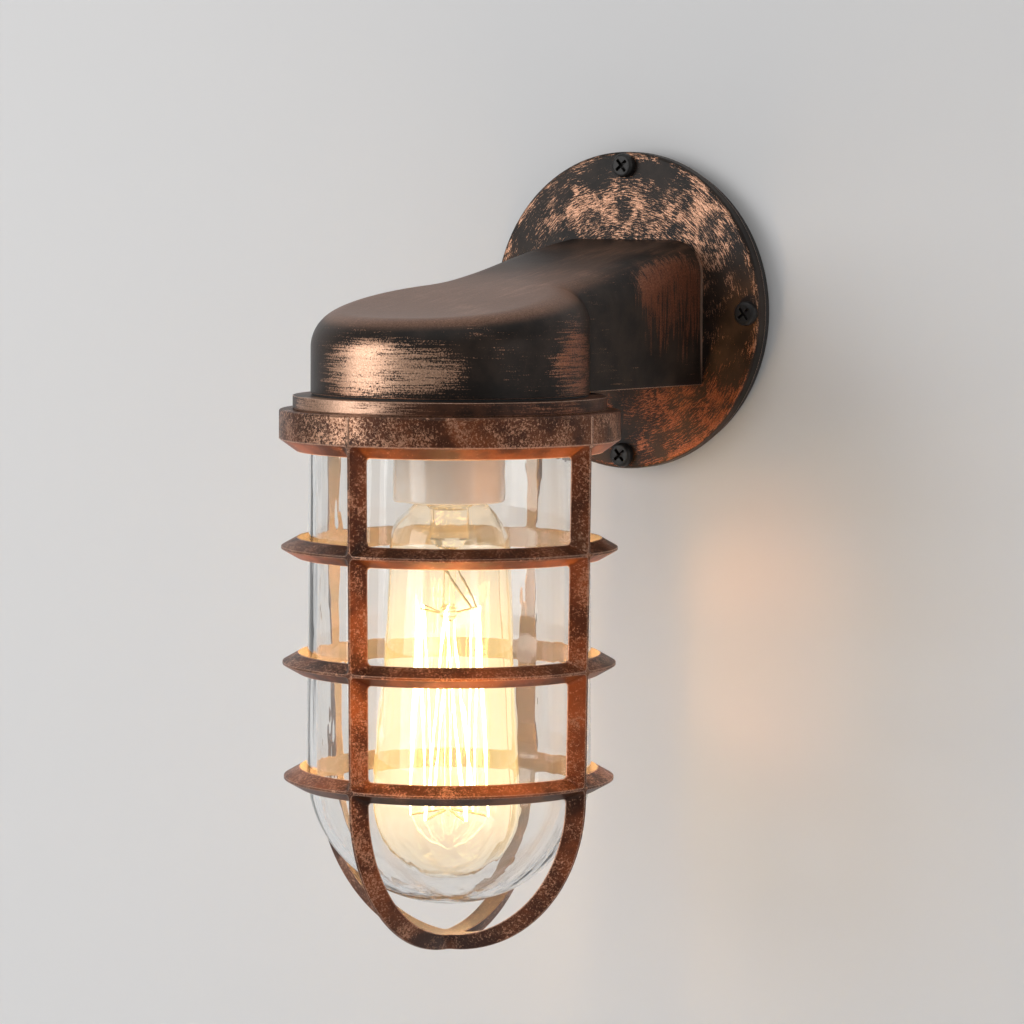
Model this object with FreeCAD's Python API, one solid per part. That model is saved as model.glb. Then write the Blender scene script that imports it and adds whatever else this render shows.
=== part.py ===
import FreeCAD, Part

import math
import os

# A cage wall light: a round wall plate, a hollow cast arm and hood, and below the hood a lamp
# in a glass jar inside a screwed-on cast cage. Millimetres. The origin is the centre of the
# wall base's rear face, the wall is the plane y = 0, the lamp is towards -Y, and +Z is up.
# Parts about the lamp's own axis are drawn about x = y = 0 and moved out by LAMP_REACH.

V = FreeCAD.Vector
UP = V(0, 0, 1)
DOWN = V(0, 0, -1)
TO_WALL = V(0, 1, 0)
OUT_OF_WALL = V(0, -1, 0)
TURN = 360.0

# ---- fits, and how far a cut runs past the face it opens
RUNNING_GAP = 0.05
SCREW_GAP = 0.2
MOVING_GAP = 0.3
SEAT_GAP = 0.6
PAST = 1.0
CLOSE = 1e-3

# ---- wall base, seal and cover plate
LAMP_REACH = 140.4
BASE_RADIUS = 66.3
BASE_DEPTH = 5.0
BASE_FLOOR = 2.2
BASE_RIM = 9.6
PLATE_SEAL = 1.0
PLATE_OVERHANG = 2.0
PLATE_DEPTH = 5.4
PLATE_FLOOR = 3.0
PLATE_EDGE_ROUND = 1.4
PLATE_WIRE_HOLE = 16.0
COVER_SCREW_INSET = 5.9
COVER_SCREW_COUNT = 4
COVER_SCREW_TURN = 40.0
WALL_HOLE_SPACING = 60.0
WALL_HOLE_RADIUS = 2.5
CABLE_HOLE_RADIUS = 10.0
GROMMET_WALL = 2.2
GROMMET_LIP = 2.0
GROMMET_FLANGE = 1.2

# ---- hood and arm casting
HOOD_RADIUS = 57.1
CAST_WALL = 3.0
CAST_FOOT = 30.8
ARM_HALF_WIDTH = 40.0
CROWN_ROUND = 15.0
CREASE_ROUND = 6.0
# the top line seen from the side, as (share, height): shares of the hood's radius in front of
# the lamp axis, then shares of the arm's length behind it
CROWN_FRONT = ((-1.0858, 0.2), (-0.5254, 2.3), (-0.1401, 5.7))
CROWN_REAR = ((0.2171, 12.3), (0.4651, 17.7), (0.6512, 22.8), (0.8062, 26.8), (1.0233, 31.0))
ARM_BOSS_RADIUS = 6.5
ARM_BOSS_LENGTH = 14.0
ARM_BOSS_INSET = 9.0

# ---- glass jar: the cage and the neck ring are as wide as its radius makes them
JAR_RADIUS = 58.5
JAR_NECK_STEP = 1.0
JAR_FLANGE_REACH = 3.1
JAR_FLANGE_GAP = 0.6
JAR_SEAL = 2.0
JAR_FLANGE = 3.4
JAR_RIM_ROUND = 1.02
JAR_DOME_HEIGHT = 56.2
JAR_WALL = 3.2
DOME_STEPS = 8

# ---- neck ring, collar thread
NECK_SEAL = 1.0
NECK_SEAL_INSET = 0.5
NECK_FLANGE_STEP = 0.4
NECK_FLANGE = 5.2
NECK_BORE = 46.0
NECK_WEB = 3.2
THREAD_PITCH = 2.5
THREAD_DEPTH = 0.9
# shares of the pitch where the thread's root starts and ends, and where its crest starts
ROOT_START = 0.4
ROOT_END = 0.5
CREST_START = 0.9
SKIRT_WALL = 2.8
SKIRT_LENGTH = 5.6
NECK_SCREW_CIRCLE = 51.5
NECK_SCREW_COUNT = 3
NECK_BOSS_RADIUS = 4.0
NECK_BOSS_RISE = 4.0
NECK_SCREW_RISE = 3.0

# ---- cage
COLLAR_GAP = 0.45
COLLAR_WALL = 6.0
COLLAR_HEIGHT = 11.95
COLLAR_TOP_ROUND = 0.9
COLLAR_LIP = 4.0
COLLAR_UNDERCUT = 0.725
RIDGE_INSET = 0.4
CAGE_TAPER = 1.8
CAGE_LENGTH = 260.4
BAR_DEPTH = 6.6
BAR_HALF_WIDTH = 4.2
RIDGE_HALF_LAND = 0.5
BAR_COUNT = 4
# the rings' places, as shares of the way from the collar to the start of the round bottom
RING_SHARES = (0.3115, 0.6425, 0.9721)
WINDOW_ROUND = 2.2
WINDOW_MARGIN = 0.45
WINDOW_DEEPER = 2.0
WEDGE_OVERRUN = 3.0
CORNER_RUN = 4.0
SEAM_PROUD = 0.35
JAR_BOTTOM_GAP = 19.4

# ---- lampholder and its bracket
HOLDER_RADIUS = 22.75
HOLDER_LENGTH = 49.7
HOLDER_RISE = 5.3
HOLDER_ROOF = 9.0
HOLDER_CHAMFER = 1.5
HOLDER_EDGE_ROUND = 0.9
HOLDER_SCREW_SPACING = 26.0
HOLDER_SCREW_BITE = 5.4
BRACKET_THICKNESS = 1.5
BRACKET_HALF_WIDTH = 9.0
POST_SPACING = 72.0
POST_RADIUS = 5.0
SHELL_THICKNESS = 0.6
SHELL_EYE_RADIUS = 8.9
CONTACT_THICKNESS = 0.8
TERMINAL_SIZE = 6.0
TERMINAL_BACK = 14.0
TERMINAL_HOLE_DEPTH = 4.2
TERMINAL_WIRE_DEPTH = 3.6

# ---- lamp
CAP_RADIUS = 13.2
CAP_THREAD_DEPTH = 0.8
CAP_PITCH = 3.6
CAP_TURNS = 4
THREAD_STEPS = 8
CAP_RIM_RADIUS = 14.6
CAP_RIM_HEIGHT = 4.4
CAP_LIP = 0.6
CAP_WALL = 0.4
CAP_INSULATOR_HEIGHT = 3.4
INSULATOR_STEP = 0.8
INSULATOR_SHOULDER = 1.2
CAP_CONTACT_RADIUS = 4.8
CAP_CONTACT_HEIGHT = 1.4
CAP_CONTACT_ROUND = 0.84
BULB_RADIUS = 30.6
BULB_END_GAP = 10.2
BULB_SHOULDER_RADIUS = 24.4
BULB_SHOULDER_HEIGHT = 21.0
# where the shoulder's curve passes, as shares of its run outward and downward
SWELL_OUT = 0.66
SWELL_DOWN = 0.33
BULB_GLASS = 0.9
STEM_RADIUS = 8.2
STEM_LENGTH = 18.0
STEM_TAPER = 3.0
STEM_FOOT_RADIUS = 5.7
STEM_FOOT_DEPTH = 1.5
ROD_RADIUS = 2.6
LOW_ROD_RADIUS = 1.8
BUTTON_DROP = 2.0
BUTTON_RADIUS = 3.6
BUTTON_HALF_HEIGHT = 1.5
FILAMENT_DROP = 43.8
FILAMENT_END_GAP = 25.8
FILAMENT_TOP_RADIUS = 14.5
FILAMENT_LOW_RADIUS = 16.0
FILAMENT_WIRE = 0.45
FILAMENT_LOOPS = 6
FILAMENT_LAST_SHARE = 0.5
SUPPORT_WIRE = 0.4
SUPPORT_SLOPE = 2.5
LEAD_WIRE = 0.5
LEAD_OFFSET = 3.6
LEAD_SPREAD = 4.9
LEAD_START = 1.7
LEAD_BEND = 8.0
LEAD_END = 0.8

# ---- terminal block, wires and screws
BLOCK_WIDTH = 30.0
BLOCK_DEPTH = 20.0
BLOCK_HEIGHT = 14.0
BLOCK_GAP = 24.0
BLOCK_WAYS = 3
BLOCK_WAY_SPACING = 9.0
BLOCK_WIRE_END = 8.0
BLOCK_SCREW_SHARES = (0.25, 0.75)
INSERT_RADIUS = 2.7
INSERT_BORE = 1.5
INSERT_INSET = 1.0
WIRE_RADIUS = 1.2
WIRE_TURN = 4.0
EARTH_BOSS_RADIUS = 5.0
EARTH_BOSS_GAP = 8.4
LUG_THICKNESS = 1.0
LUG_EYE_RADIUS = 4.0
LUG_BARREL_RADIUS = 2.0
LUG_BARREL_LENGTH = 7.0
LUG_BORE_DEPTH = 4.2
LUG_WIRE_END = 3.5
M4_RADIUS = 2.0
M4_HEAD_RADIUS = 3.6
M4_HEAD_HEIGHT = 2.2
M3_RADIUS = 1.5
M3_HEAD_RADIUS = 2.8
M3_HEAD_HEIGHT = 1.8
COVER_HEAD_RADIUS = 5.2
COVER_HEAD_HEIGHT = 3.4
SCREW_BITE = 8.0
# shares of a screw head: its rounding, its recess's depth, reach and half width
HEAD_ROUND = 0.45
RECESS_DEPTH = 0.6
RECESS_REACH = 0.62
RECESS_HALF_WIDTH = 0.13

# ---- depths from the wall
BASE_FRONT = -BASE_DEPTH
PLATE_BACK = BASE_FRONT - PLATE_SEAL
PLATE_FRONT = PLATE_BACK - PLATE_DEPTH
PLATE_POCKET = PLATE_FRONT + PLATE_FLOOR
ARM_LENGTH = LAMP_REACH + PLATE_FRONT

# ---- radii
PLATE_RADIUS = BASE_RADIUS + PLATE_OVERHANG
POCKET_RADIUS = BASE_RADIUS - BASE_RIM
COVER_SCREW_CIRCLE = PLATE_RADIUS - COVER_SCREW_INSET
JAR_NECK_RADIUS = JAR_RADIUS - JAR_NECK_STEP
JAR_FLANGE_RADIUS = JAR_NECK_RADIUS + JAR_FLANGE_REACH
SKIRT_BORE = JAR_FLANGE_RADIUS + JAR_FLANGE_GAP
THREAD_RADIUS = SKIRT_BORE + SKIRT_WALL
NECK_FLANGE_RADIUS = THREAD_RADIUS + NECK_FLANGE_STEP
COLLAR_RADIUS = THREAD_RADIUS + COLLAR_WALL
RIDGE_TOP_RADIUS = COLLAR_RADIUS - RIDGE_INSET
RIDGE_LOW_RADIUS = RIDGE_TOP_RADIUS - CAGE_TAPER
LIP_BORE = JAR_RADIUS + SEAT_GAP
CAP_LINE_RADIUS = CAP_RADIUS - CAP_THREAD_DEPTH
CAP_BORE = CAP_LINE_RADIUS - CAP_WALL
SHELL_BORE = CAP_LINE_RADIUS + MOVING_GAP

# ---- heights, from the hood's floor downward
HOOD_FLOOR = -CAST_FOOT
ARM_FLOOR = HOOD_FLOOR + CAST_WALL
NECK_TOP = HOOD_FLOOR - NECK_SEAL
NECK_FLANGE_BOTTOM = NECK_TOP - NECK_FLANGE
NECK_WEB_BOTTOM = NECK_FLANGE_BOTTOM - NECK_WEB
NECK_HEAD_SEAT = NECK_WEB_BOTTOM + M4_HEAD_HEIGHT + SCREW_GAP
SKIRT_BOTTOM = NECK_WEB_BOTTOM - SKIRT_LENGTH
COLLAR_TOP = NECK_FLANGE_BOTTOM - COLLAR_GAP
COLLAR_BOTTOM = COLLAR_TOP - COLLAR_HEIGHT
JAR_TOP = NECK_WEB_BOTTOM - JAR_SEAL
JAR_FLANGE_BOTTOM = JAR_TOP - JAR_FLANGE
LIP_TOP = min(JAR_FLANGE_BOTTOM, SKIRT_BOTTOM) - MOVING_GAP
LIP_BOTTOM = LIP_TOP - COLLAR_LIP
CAGE_BOTTOM = -CAGE_LENGTH
DOME_CENTRE = CAGE_BOTTOM + RIDGE_LOW_RADIUS
JAR_BOTTOM = CAGE_BOTTOM + JAR_BOTTOM_GAP
JAR_DOME_CENTRE = JAR_BOTTOM + JAR_DOME_HEIGHT

# ---- heights of the lampholder and the lamp
HOLDER_TOP = HOOD_FLOOR + HOLDER_RISE
HOLDER_BOTTOM = HOLDER_TOP - HOLDER_LENGTH
HOLDER_FLOOR = HOLDER_TOP - HOLDER_ROOF
BRACKET_TOP = HOLDER_TOP + BRACKET_THICKNESS
TERMINAL_SPACING = BLOCK_WAY_SPACING * (BLOCK_WAYS - 1)
TERMINAL_MIDDLE = HOLDER_TOP - TERMINAL_SIZE / 2
THREAD_LOW = HOLDER_BOTTOM + CAP_RIM_HEIGHT
CAP_THREAD_TOP = THREAD_LOW + CAP_TURNS * CAP_PITCH
INSULATOR_TOP = CAP_THREAD_TOP + CAP_INSULATOR_HEIGHT
CAP_TIP = INSULATOR_TOP + CAP_CONTACT_HEIGHT
CONTACT_FACE = CAP_TIP + MOVING_GAP
BULB_TOP = HOLDER_BOTTOM - CAP_LIP
BULB_NECK_RADIUS = CAP_RIM_RADIUS - CAP_LIP
BULB_BOTTOM = JAR_BOTTOM + BULB_END_GAP
STEM_FOOT = BULB_TOP - STEM_LENGTH
FILAMENT_TOP = HOLDER_BOTTOM - FILAMENT_DROP
FILAMENT_BOTTOM = BULB_BOTTOM + FILAMENT_END_GAP
BUTTON_HEIGHT = FILAMENT_TOP - BUTTON_DROP

# ---- the wires in the arm: they lie at one height, and the earth screw stands before the block
WIRE_HEIGHT = ARM_FLOOR + BLOCK_HEIGHT / 2
LUG_BOTTOM = WIRE_HEIGHT - LUG_THICKNESS / 2
EARTH_BACK = NECK_BORE + EARTH_BOSS_GAP
BLOCK_FRONT = LAMP_REACH - EARTH_BACK - BLOCK_GAP
LUG_PLACE = V(0, EARTH_BACK - LAMP_REACH, LUG_BOTTOM)


def cylinder(radius, low, high, x=0.0, y=0.0):
    return Part.makeCylinder(radius, high - low, V(x, y, low), UP)


def tube(inner, outer, low, high):
    return cylinder(outer, low, high).cut(cylinder(inner, low - PAST, high + PAST))


def box(x, y, z):
    return Part.makeBox(x[1] - x[0], y[1] - y[0], z[1] - z[0], V(x[0], y[0], z[0]))


def disc(radius, back, front, x=0.0, z=0.0):
    """A round slice that faces out of the wall, between two depths."""
    return Part.makeCylinder(radius, back - front, V(x, back, z), OUT_OF_WALL)


def closed(points):
    return Part.makePolygon(points + points[:1])


def turned(points):
    """A solid turned about the vertical axis from (radius, height) corners."""
    corners = [V(radius, 0, height) for radius, height in points]
    return Part.Face(closed(corners)).revolve(V(0, 0, 0), UP, TURN)


def turned_edges(edges, angle=TURN):
    outline = Part.Wire(Part.__sortEdges__(edges))
    return Part.Face(outline).revolve(V(0, 0, 0), UP, angle)


def line(start, end):
    return Part.makeLine(V(start[0], 0, start[1]), V(end[0], 0, end[1]))


def arc(start, middle, end):
    points = [V(radius, 0, height) for radius, height in (start, middle, end)]
    return Part.Arc(*points).toShape()


def around(shape, count, axis=UP):
    """Equal copies of a shape, spaced evenly round an axis through the origin."""
    copies = []
    for index in range(count):
        copy = shape.copy()
        copy.rotate(V(0, 0, 0), axis, index * TURN / count)
        copies.append(copy)
    return copies


def both_sides(spacing):
    return -spacing / 2, spacing / 2


def at_lamp(shape):
    moved = shape.copy()
    moved.translate(V(0, -LAMP_REACH, 0))
    return moved


def save(name, *solids):
    shape = solids[0] if len(solids) == 1 else Part.makeCompound(list(solids))
    shape.exportStep(os.path.join("parts", name + ".step"))


def edges_at(solid, height):
    """The level edges of a solid at a height."""
    return [edge for edge in solid.Edges if abs(edge.BoundBox.ZMin - height) < CLOSE
            and abs(edge.BoundBox.ZMax - height) < CLOSE]


def cross_recess(head_radius, depth, top):
    arm = head_radius * RECESS_REACH
    half = head_radius * RECESS_HALF_WIDTH
    slot = box((-arm, arm), (-half, half), (top - depth, top + PAST))
    return slot.fuse(slot.rotated(V(0, 0, 0), UP, TURN / 4))


def screw(radius, length, head_radius, head_height):
    """A pan-head screw along +Z, its head above z = 0 and its shank below."""
    head = cylinder(head_radius, 0, head_height)
    head = head.makeFillet(head_height * HEAD_ROUND, edges_at(head, head_height))
    whole = head.fuse(cylinder(radius, -length, RUNNING_GAP)).removeSplitter()
    return whole.cut(cross_recess(head_radius, head_height * RECESS_DEPTH, head_height))


def placed(shape, point, direction):
    moved = shape.copy()
    moved.Placement = FreeCAD.Placement(point, FreeCAD.Rotation(UP, direction)).multiply(moved.Placement)
    return moved


def on_plate(shape):
    """Copies at the cover screws' places: at the top, the bottom and both sides."""
    return around(shape, COVER_SCREW_COUNT, axis=OUT_OF_WALL)


def on_circle(radius, angle):
    return radius * math.cos(math.radians(angle)), radius * math.sin(math.radians(angle))


# ---- wall base, seal, grommet and cover plate

def wall_base():
    body = disc(BASE_RADIUS, 0, BASE_FRONT)
    body = body.cut(disc(POCKET_RADIUS, -BASE_FLOOR, BASE_FRONT - PAST))
    body = body.cut(disc(CABLE_HOLE_RADIUS, PAST, BASE_FRONT))
    for x in both_sides(WALL_HOLE_SPACING):
        body = body.cut(disc(WALL_HOLE_RADIUS, PAST, BASE_FRONT, x=x))
    thread = disc(M4_RADIUS + RUNNING_GAP, PAST, BASE_FRONT - PAST, z=COVER_SCREW_CIRCLE)
    return body.cut(on_plate(thread))


def cable_grommet():
    bore = CABLE_HOLE_RADIUS - GROMMET_WALL
    front = -BASE_FLOOR - GROMMET_FLANGE
    body = disc(CABLE_HOLE_RADIUS, 0, front)
    flange = disc(CABLE_HOLE_RADIUS + GROMMET_LIP, -BASE_FLOOR, front)
    return body.fuse(flange).removeSplitter().cut(disc(bore, PAST, front - PAST))


def base_gasket():
    ring = disc(BASE_RADIUS, BASE_FRONT, PLATE_BACK)
    ring = ring.cut(disc(POCKET_RADIUS, 0, PLATE_FRONT))
    hole = disc(M4_RADIUS + SCREW_GAP, 0, PLATE_FRONT, z=COVER_SCREW_CIRCLE)
    return ring.cut(on_plate(hole))


def canopy_plate():
    body = disc(PLATE_RADIUS, PLATE_BACK, PLATE_FRONT)
    rim = [edge for edge in body.Edges if abs(edge.BoundBox.YMax - PLATE_FRONT) < CLOSE]
    body = body.makeFillet(PLATE_EDGE_ROUND, rim)
    body = body.cut(disc(POCKET_RADIUS, 0, PLATE_POCKET))
    body = body.cut(disc(PLATE_WIRE_HOLE, 0, PLATE_FRONT - PAST))
    hole = disc(M4_RADIUS + SCREW_GAP, 0, PLATE_FRONT - PAST, z=COVER_SCREW_CIRCLE)
    body = body.cut(on_plate(hole))
    for x, z in arm_screw_places():
        body = body.cut(disc(M4_RADIUS + SCREW_GAP, 0, PLATE_FRONT - PAST, x=x, z=z))
    return body


def cover_screws():
    one = screw(M4_RADIUS, PLATE_DEPTH + PLATE_SEAL + BASE_DEPTH, COVER_HEAD_RADIUS, COVER_HEAD_HEIGHT)
    one.rotate(V(0, 0, 0), UP, COVER_SCREW_TURN)
    return on_plate(placed(one, V(0, PLATE_FRONT, COVER_SCREW_CIRCLE), OUT_OF_WALL))


# ---- hood and arm

def crown_curve(inset):
    points = [V(0, share * HOOD_RADIUS, height - inset) for share, height in CROWN_FRONT]
    points += [V(0, share * ARM_LENGTH, height - inset) for share, height in CROWN_REAR]
    curve = Part.BSplineCurve()
    curve.interpolate(points)
    return curve


def below_crown(inset, foot):
    """A wide slab that ends at the crown's line, seen from the side."""
    top = crown_curve(inset)
    first = top.value(top.FirstParameter)
    last = top.value(top.LastParameter)
    low_first = V(0, first.y, foot - PAST)
    low_last = V(0, last.y, foot - PAST)
    edges = [top.toShape(), Part.makeLine(last, low_last), Part.makeLine(low_last, low_first)]
    side = Part.Wire(edges + [Part.makeLine(low_first, first)])
    side.translate(V(-2 * HOOD_RADIUS, 0, 0))
    return Part.Face(side).extrude(V(4 * HOOD_RADIUS, 0, 0))


def casting_form(inset, foot, rear):
    """The hood and arm as one rounded block, drawn in from the outer skin by the inset."""
    hood = HOOD_RADIUS - inset
    half = ARM_HALF_WIDTH - inset
    tall = 2 * CAST_FOOT
    outline = cylinder(hood, foot, tall).fuse(box((-half, half), (0, rear), (foot, tall)))
    outline = outline.removeSplitter()
    meet = math.sqrt(hood ** 2 - half ** 2)
    creases = [edge for edge in outline.Edges
               if all(at_crease(vertex.Point, half, meet) for vertex in edge.Vertexes)]
    outline = outline.makeFillet(CREASE_ROUND + inset, creases)
    block = outline.common(below_crown(inset, foot))
    rim = [edge for edge in block.Edges if on_crown(edge, rear)]
    return block.makeFillet(CROWN_ROUND - inset, rim)


def at_crease(point, half, meet):
    """True where an arm side meets the round hood."""
    return abs(abs(point.x) - half) < CLOSE and abs(point.y - meet) < CLOSE


def on_crown(edge, rear):
    """True for the edges round the top face, apart from the one at the wall plate."""
    bounds = edge.BoundBox
    upright = bounds.ZMax - bounds.ZMin > CAST_FOOT
    return bounds.ZMin > -CAST_FOOT / 2 and not upright and bounds.YMin < rear - CLOSE


def arm_screw_places():
    side = ARM_HALF_WIDTH - ARM_BOSS_INSET
    top = CROWN_REAR[-1][1] - CAST_WALL - ARM_BOSS_INSET
    low = HOOD_FLOOR + ARM_BOSS_INSET
    return [(x, z) for z in (low, top) for x in (-side, side)]


def neck_screw_places():
    angles = [index * TURN / NECK_SCREW_COUNT - TURN / 4 for index in range(NECK_SCREW_COUNT)]
    return [on_circle(NECK_SCREW_CIRCLE, angle) for angle in angles]


def arm_hood():
    """The hollow casting, about the lamp axis."""
    outer = casting_form(0, HOOD_FLOOR, ARM_LENGTH)
    hollow = casting_form(CAST_WALL, ARM_FLOOR, ARM_LENGTH + PAST)
    walls = outer.cut(hollow)
    walls = walls.cut(cylinder(NECK_BORE, HOOD_FLOOR - PAST, ARM_FLOOR + PAST))
    posts = [cylinder(POST_RADIUS, BRACKET_TOP, CAST_FOOT, x=x) for x in both_sides(POST_SPACING)]
    for x, z in arm_screw_places():
        start = V(x, ARM_LENGTH - ARM_BOSS_LENGTH, z)
        posts.append(Part.makeCylinder(ARM_BOSS_RADIUS, ARM_BOSS_LENGTH, start, TO_WALL))
    for x, y in neck_screw_places():
        posts.append(cylinder(NECK_BOSS_RADIUS, HOOD_FLOOR, ARM_FLOOR + NECK_BOSS_RISE, x, y))
    posts.append(cylinder(EARTH_BOSS_RADIUS, HOOD_FLOOR, LUG_BOTTOM, y=EARTH_BACK))
    walls = walls.fuse([post.common(outer) for post in posts]).removeSplitter()
    return walls.cut(casting_holes())


def casting_holes():
    holes = []
    tapped = M4_RADIUS + RUNNING_GAP
    for x in both_sides(POST_SPACING):
        holes.append(cylinder(tapped, BRACKET_TOP - PAST, BRACKET_TOP + SCREW_BITE + SEAT_GAP, x=x))
    for x, z in arm_screw_places():
        start = V(x, ARM_LENGTH + PAST, z)
        holes.append(Part.makeCylinder(tapped, SCREW_BITE + SEAT_GAP + PAST, start, OUT_OF_WALL))
    for x, y in neck_screw_places():
        holes.append(cylinder(tapped, HOOD_FLOOR - PAST, ARM_FLOOR + SCREW_BITE, x, y))
    holes.append(cylinder(M3_RADIUS + RUNNING_GAP, HOOD_FLOOR + CAST_WALL / 2, 0, y=EARTH_BACK))
    return holes


def arm_screws():
    one = screw(M4_RADIUS, PLATE_FLOOR + SCREW_BITE, M4_HEAD_RADIUS, M4_HEAD_HEIGHT)
    return [placed(one, V(x, PLATE_POCKET, z), TO_WALL) for x, z in arm_screw_places()]


# ---- neck ring below the hood

def neck_gasket():
    ring = tube(NECK_BORE, HOOD_RADIUS - NECK_SEAL_INSET, NECK_TOP, HOOD_FLOOR)
    for x, y in neck_screw_places():
        ring = ring.cut(cylinder(M4_RADIUS + SCREW_GAP, NECK_TOP - PAST, HOOD_FLOOR + PAST, x, y))
    return ring


def neck_ring():
    """A flange under the hood, and a threaded skirt that the cage's collar screws onto."""
    root = THREAD_RADIUS - THREAD_DEPTH
    points = [(NECK_BORE, NECK_TOP), (NECK_FLANGE_RADIUS, NECK_TOP), (NECK_FLANGE_RADIUS, NECK_FLANGE_BOTTOM),
              (THREAD_RADIUS, NECK_FLANGE_BOTTOM), (THREAD_RADIUS, COLLAR_TOP)]
    turns = int((COLLAR_TOP - SKIRT_BOTTOM) / THREAD_PITCH)
    for index in range(turns):
        top = COLLAR_TOP - index * THREAD_PITCH
        points += [(root, top - THREAD_PITCH * ROOT_START), (root, top - THREAD_PITCH * ROOT_END)]
        points += [(THREAD_RADIUS, top - THREAD_PITCH * CREST_START), (THREAD_RADIUS, top - THREAD_PITCH)]
    points += [(THREAD_RADIUS, SKIRT_BOTTOM), (SKIRT_BORE, SKIRT_BOTTOM), (SKIRT_BORE, NECK_WEB_BOTTOM)]
    ring = turned(points + [(NECK_BORE, NECK_WEB_BOTTOM)])
    for x, y in neck_screw_places():
        ring = ring.cut(cylinder(M4_RADIUS + SCREW_GAP, SKIRT_BOTTOM, NECK_TOP + PAST, x, y))
        ring = ring.cut(cylinder(M4_HEAD_RADIUS + SCREW_GAP, SKIRT_BOTTOM, NECK_HEAD_SEAT, x, y))
    return ring


def neck_screws():
    length = ARM_FLOOR + NECK_SCREW_RISE - NECK_HEAD_SEAT
    one = screw(M4_RADIUS, length, M4_HEAD_RADIUS, M4_HEAD_HEIGHT)
    return [placed(one, V(x, y, NECK_HEAD_SEAT), DOWN) for x, y in neck_screw_places()]


def jar_gasket():
    return tube(JAR_NECK_RADIUS - JAR_WALL, SKIRT_BORE - MOVING_GAP, JAR_TOP, NECK_WEB_BOTTOM)


# ---- cage

def ridge_radius(height):
    """The radius of the bars' outer ridges: the cage narrows slightly towards the bottom."""
    share = (COLLAR_BOTTOM - height) / (COLLAR_BOTTOM - DOME_CENTRE)
    return RIDGE_TOP_RADIUS + (RIDGE_LOW_RADIUS - RIDGE_TOP_RADIUS) * share


def cage_shell(inward, outward, top_inner, top_outer, angle=TURN):
    """The cage with no windows: a tapering wall and a round bottom, thicker by the margins."""
    upper_out = RIDGE_TOP_RADIUS + outward
    upper_in = RIDGE_TOP_RADIUS - BAR_DEPTH - inward
    low_out = RIDGE_LOW_RADIUS + outward
    low_in = RIDGE_LOW_RADIUS - BAR_DEPTH - inward
    half = math.sqrt(0.5)
    outer_arc = arc((low_out, DOME_CENTRE), (low_out * half, DOME_CENTRE - low_out * half),
                    (0, DOME_CENTRE - low_out))
    inner_arc = arc((0, DOME_CENTRE - low_in), (low_in * half, DOME_CENTRE - low_in * half),
                    (low_in, DOME_CENTRE))
    edges = [outer_arc, inner_arc, line((upper_out, top_outer), (low_out, DOME_CENTRE)),
             line((0, DOME_CENTRE - low_out), (0, DOME_CENTRE - low_in)),
             line((low_in, DOME_CENTRE), (upper_in, top_inner)),
             line((upper_in, top_inner), (upper_out, top_outer))]
    return turned_edges(edges, angle)


def wedge(ridge):
    """A bar's or ring's section as (radius, half width) at its tip and at its root, with its flanks
    carried past both."""
    slope = (BAR_HALF_WIDTH - RIDGE_HALF_LAND) / BAR_DEPTH
    tip = (ridge + RIDGE_HALF_LAND / slope, 0)
    root = (ridge - BAR_DEPTH - WEDGE_OVERRUN, BAR_HALF_WIDTH + WEDGE_OVERRUN * slope)
    return tip, root


def bar_section(ridge, height):
    tip, root = wedge(ridge)
    return closed([V(tip[0], 0, height), V(root[0], root[1], height), V(root[0], -root[1], height)])


def bar_wedges():
    """Upright bars, drawn as wedges that taper with the cage."""
    low = bar_section(RIDGE_LOW_RADIUS, DOME_CENTRE)
    high = bar_section(ridge_radius(HOOD_FLOOR), HOOD_FLOOR)
    return around(Part.makeLoft([low, high], True, True), BAR_COUNT)


def arch_wedges():
    """The bars' rounded ends, which run from the sides to the middle of the bottom and meet there."""
    section = Part.Face(bar_section(RIDGE_LOW_RADIUS, DOME_CENTRE))
    return around(section.revolve(V(0, 0, DOME_CENTRE), V(0, 1, 0), TURN / 4), BAR_COUNT)


def ring_wedges():
    rings = []
    for share in RING_SHARES:
        height = COLLAR_BOTTOM - share * (COLLAR_BOTTOM - DOME_CENTRE)
        tip, root = wedge(ridge_radius(height))
        rings.append(turned([(tip[0], height), (root[0], height + root[1]), (root[0], height - root[1])]))
    return rings


def depth_from_axis(point):
    """Distance from the cage's axis, or from the centre of its round bottom."""
    if point.z > DOME_CENTRE:
        return math.hypot(point.x, point.y)
    return (point - V(0, 0, DOME_CENTRE)).Length


def window_cutters():
    """What is cut out between bars and rings: the windows of one sector, repeated round the axis."""
    rise = (BAR_DEPTH + WINDOW_MARGIN + WINDOW_DEEPER) * COLLAR_UNDERCUT
    outer_top = COLLAR_BOTTOM + (WINDOW_MARGIN - RIDGE_INSET) * COLLAR_UNDERCUT
    sector = cage_shell(WINDOW_DEEPER, WINDOW_MARGIN, outer_top - rise, outer_top, TURN / BAR_COUNT)
    windows = sector.cut(bar_wedges()[:2] + arch_wedges()[:2] + ring_wedges())
    cutters = []
    for window in windows.Solids:
        cutters += around(rounded_window(window), BAR_COUNT)
    return cutters


def rounded_window(window):
    """A window with its corners rounded: they are the edges that run from outside to inside."""
    corners = []
    for edge in window.Edges:
        ends = [depth_from_axis(vertex.Point) for vertex in edge.Vertexes]
        if len(ends) == 2 and abs(ends[0] - ends[1]) > CORNER_RUN:
            corners.append(edge)
    return window.makeFillet(WINDOW_ROUND, corners)


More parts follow.
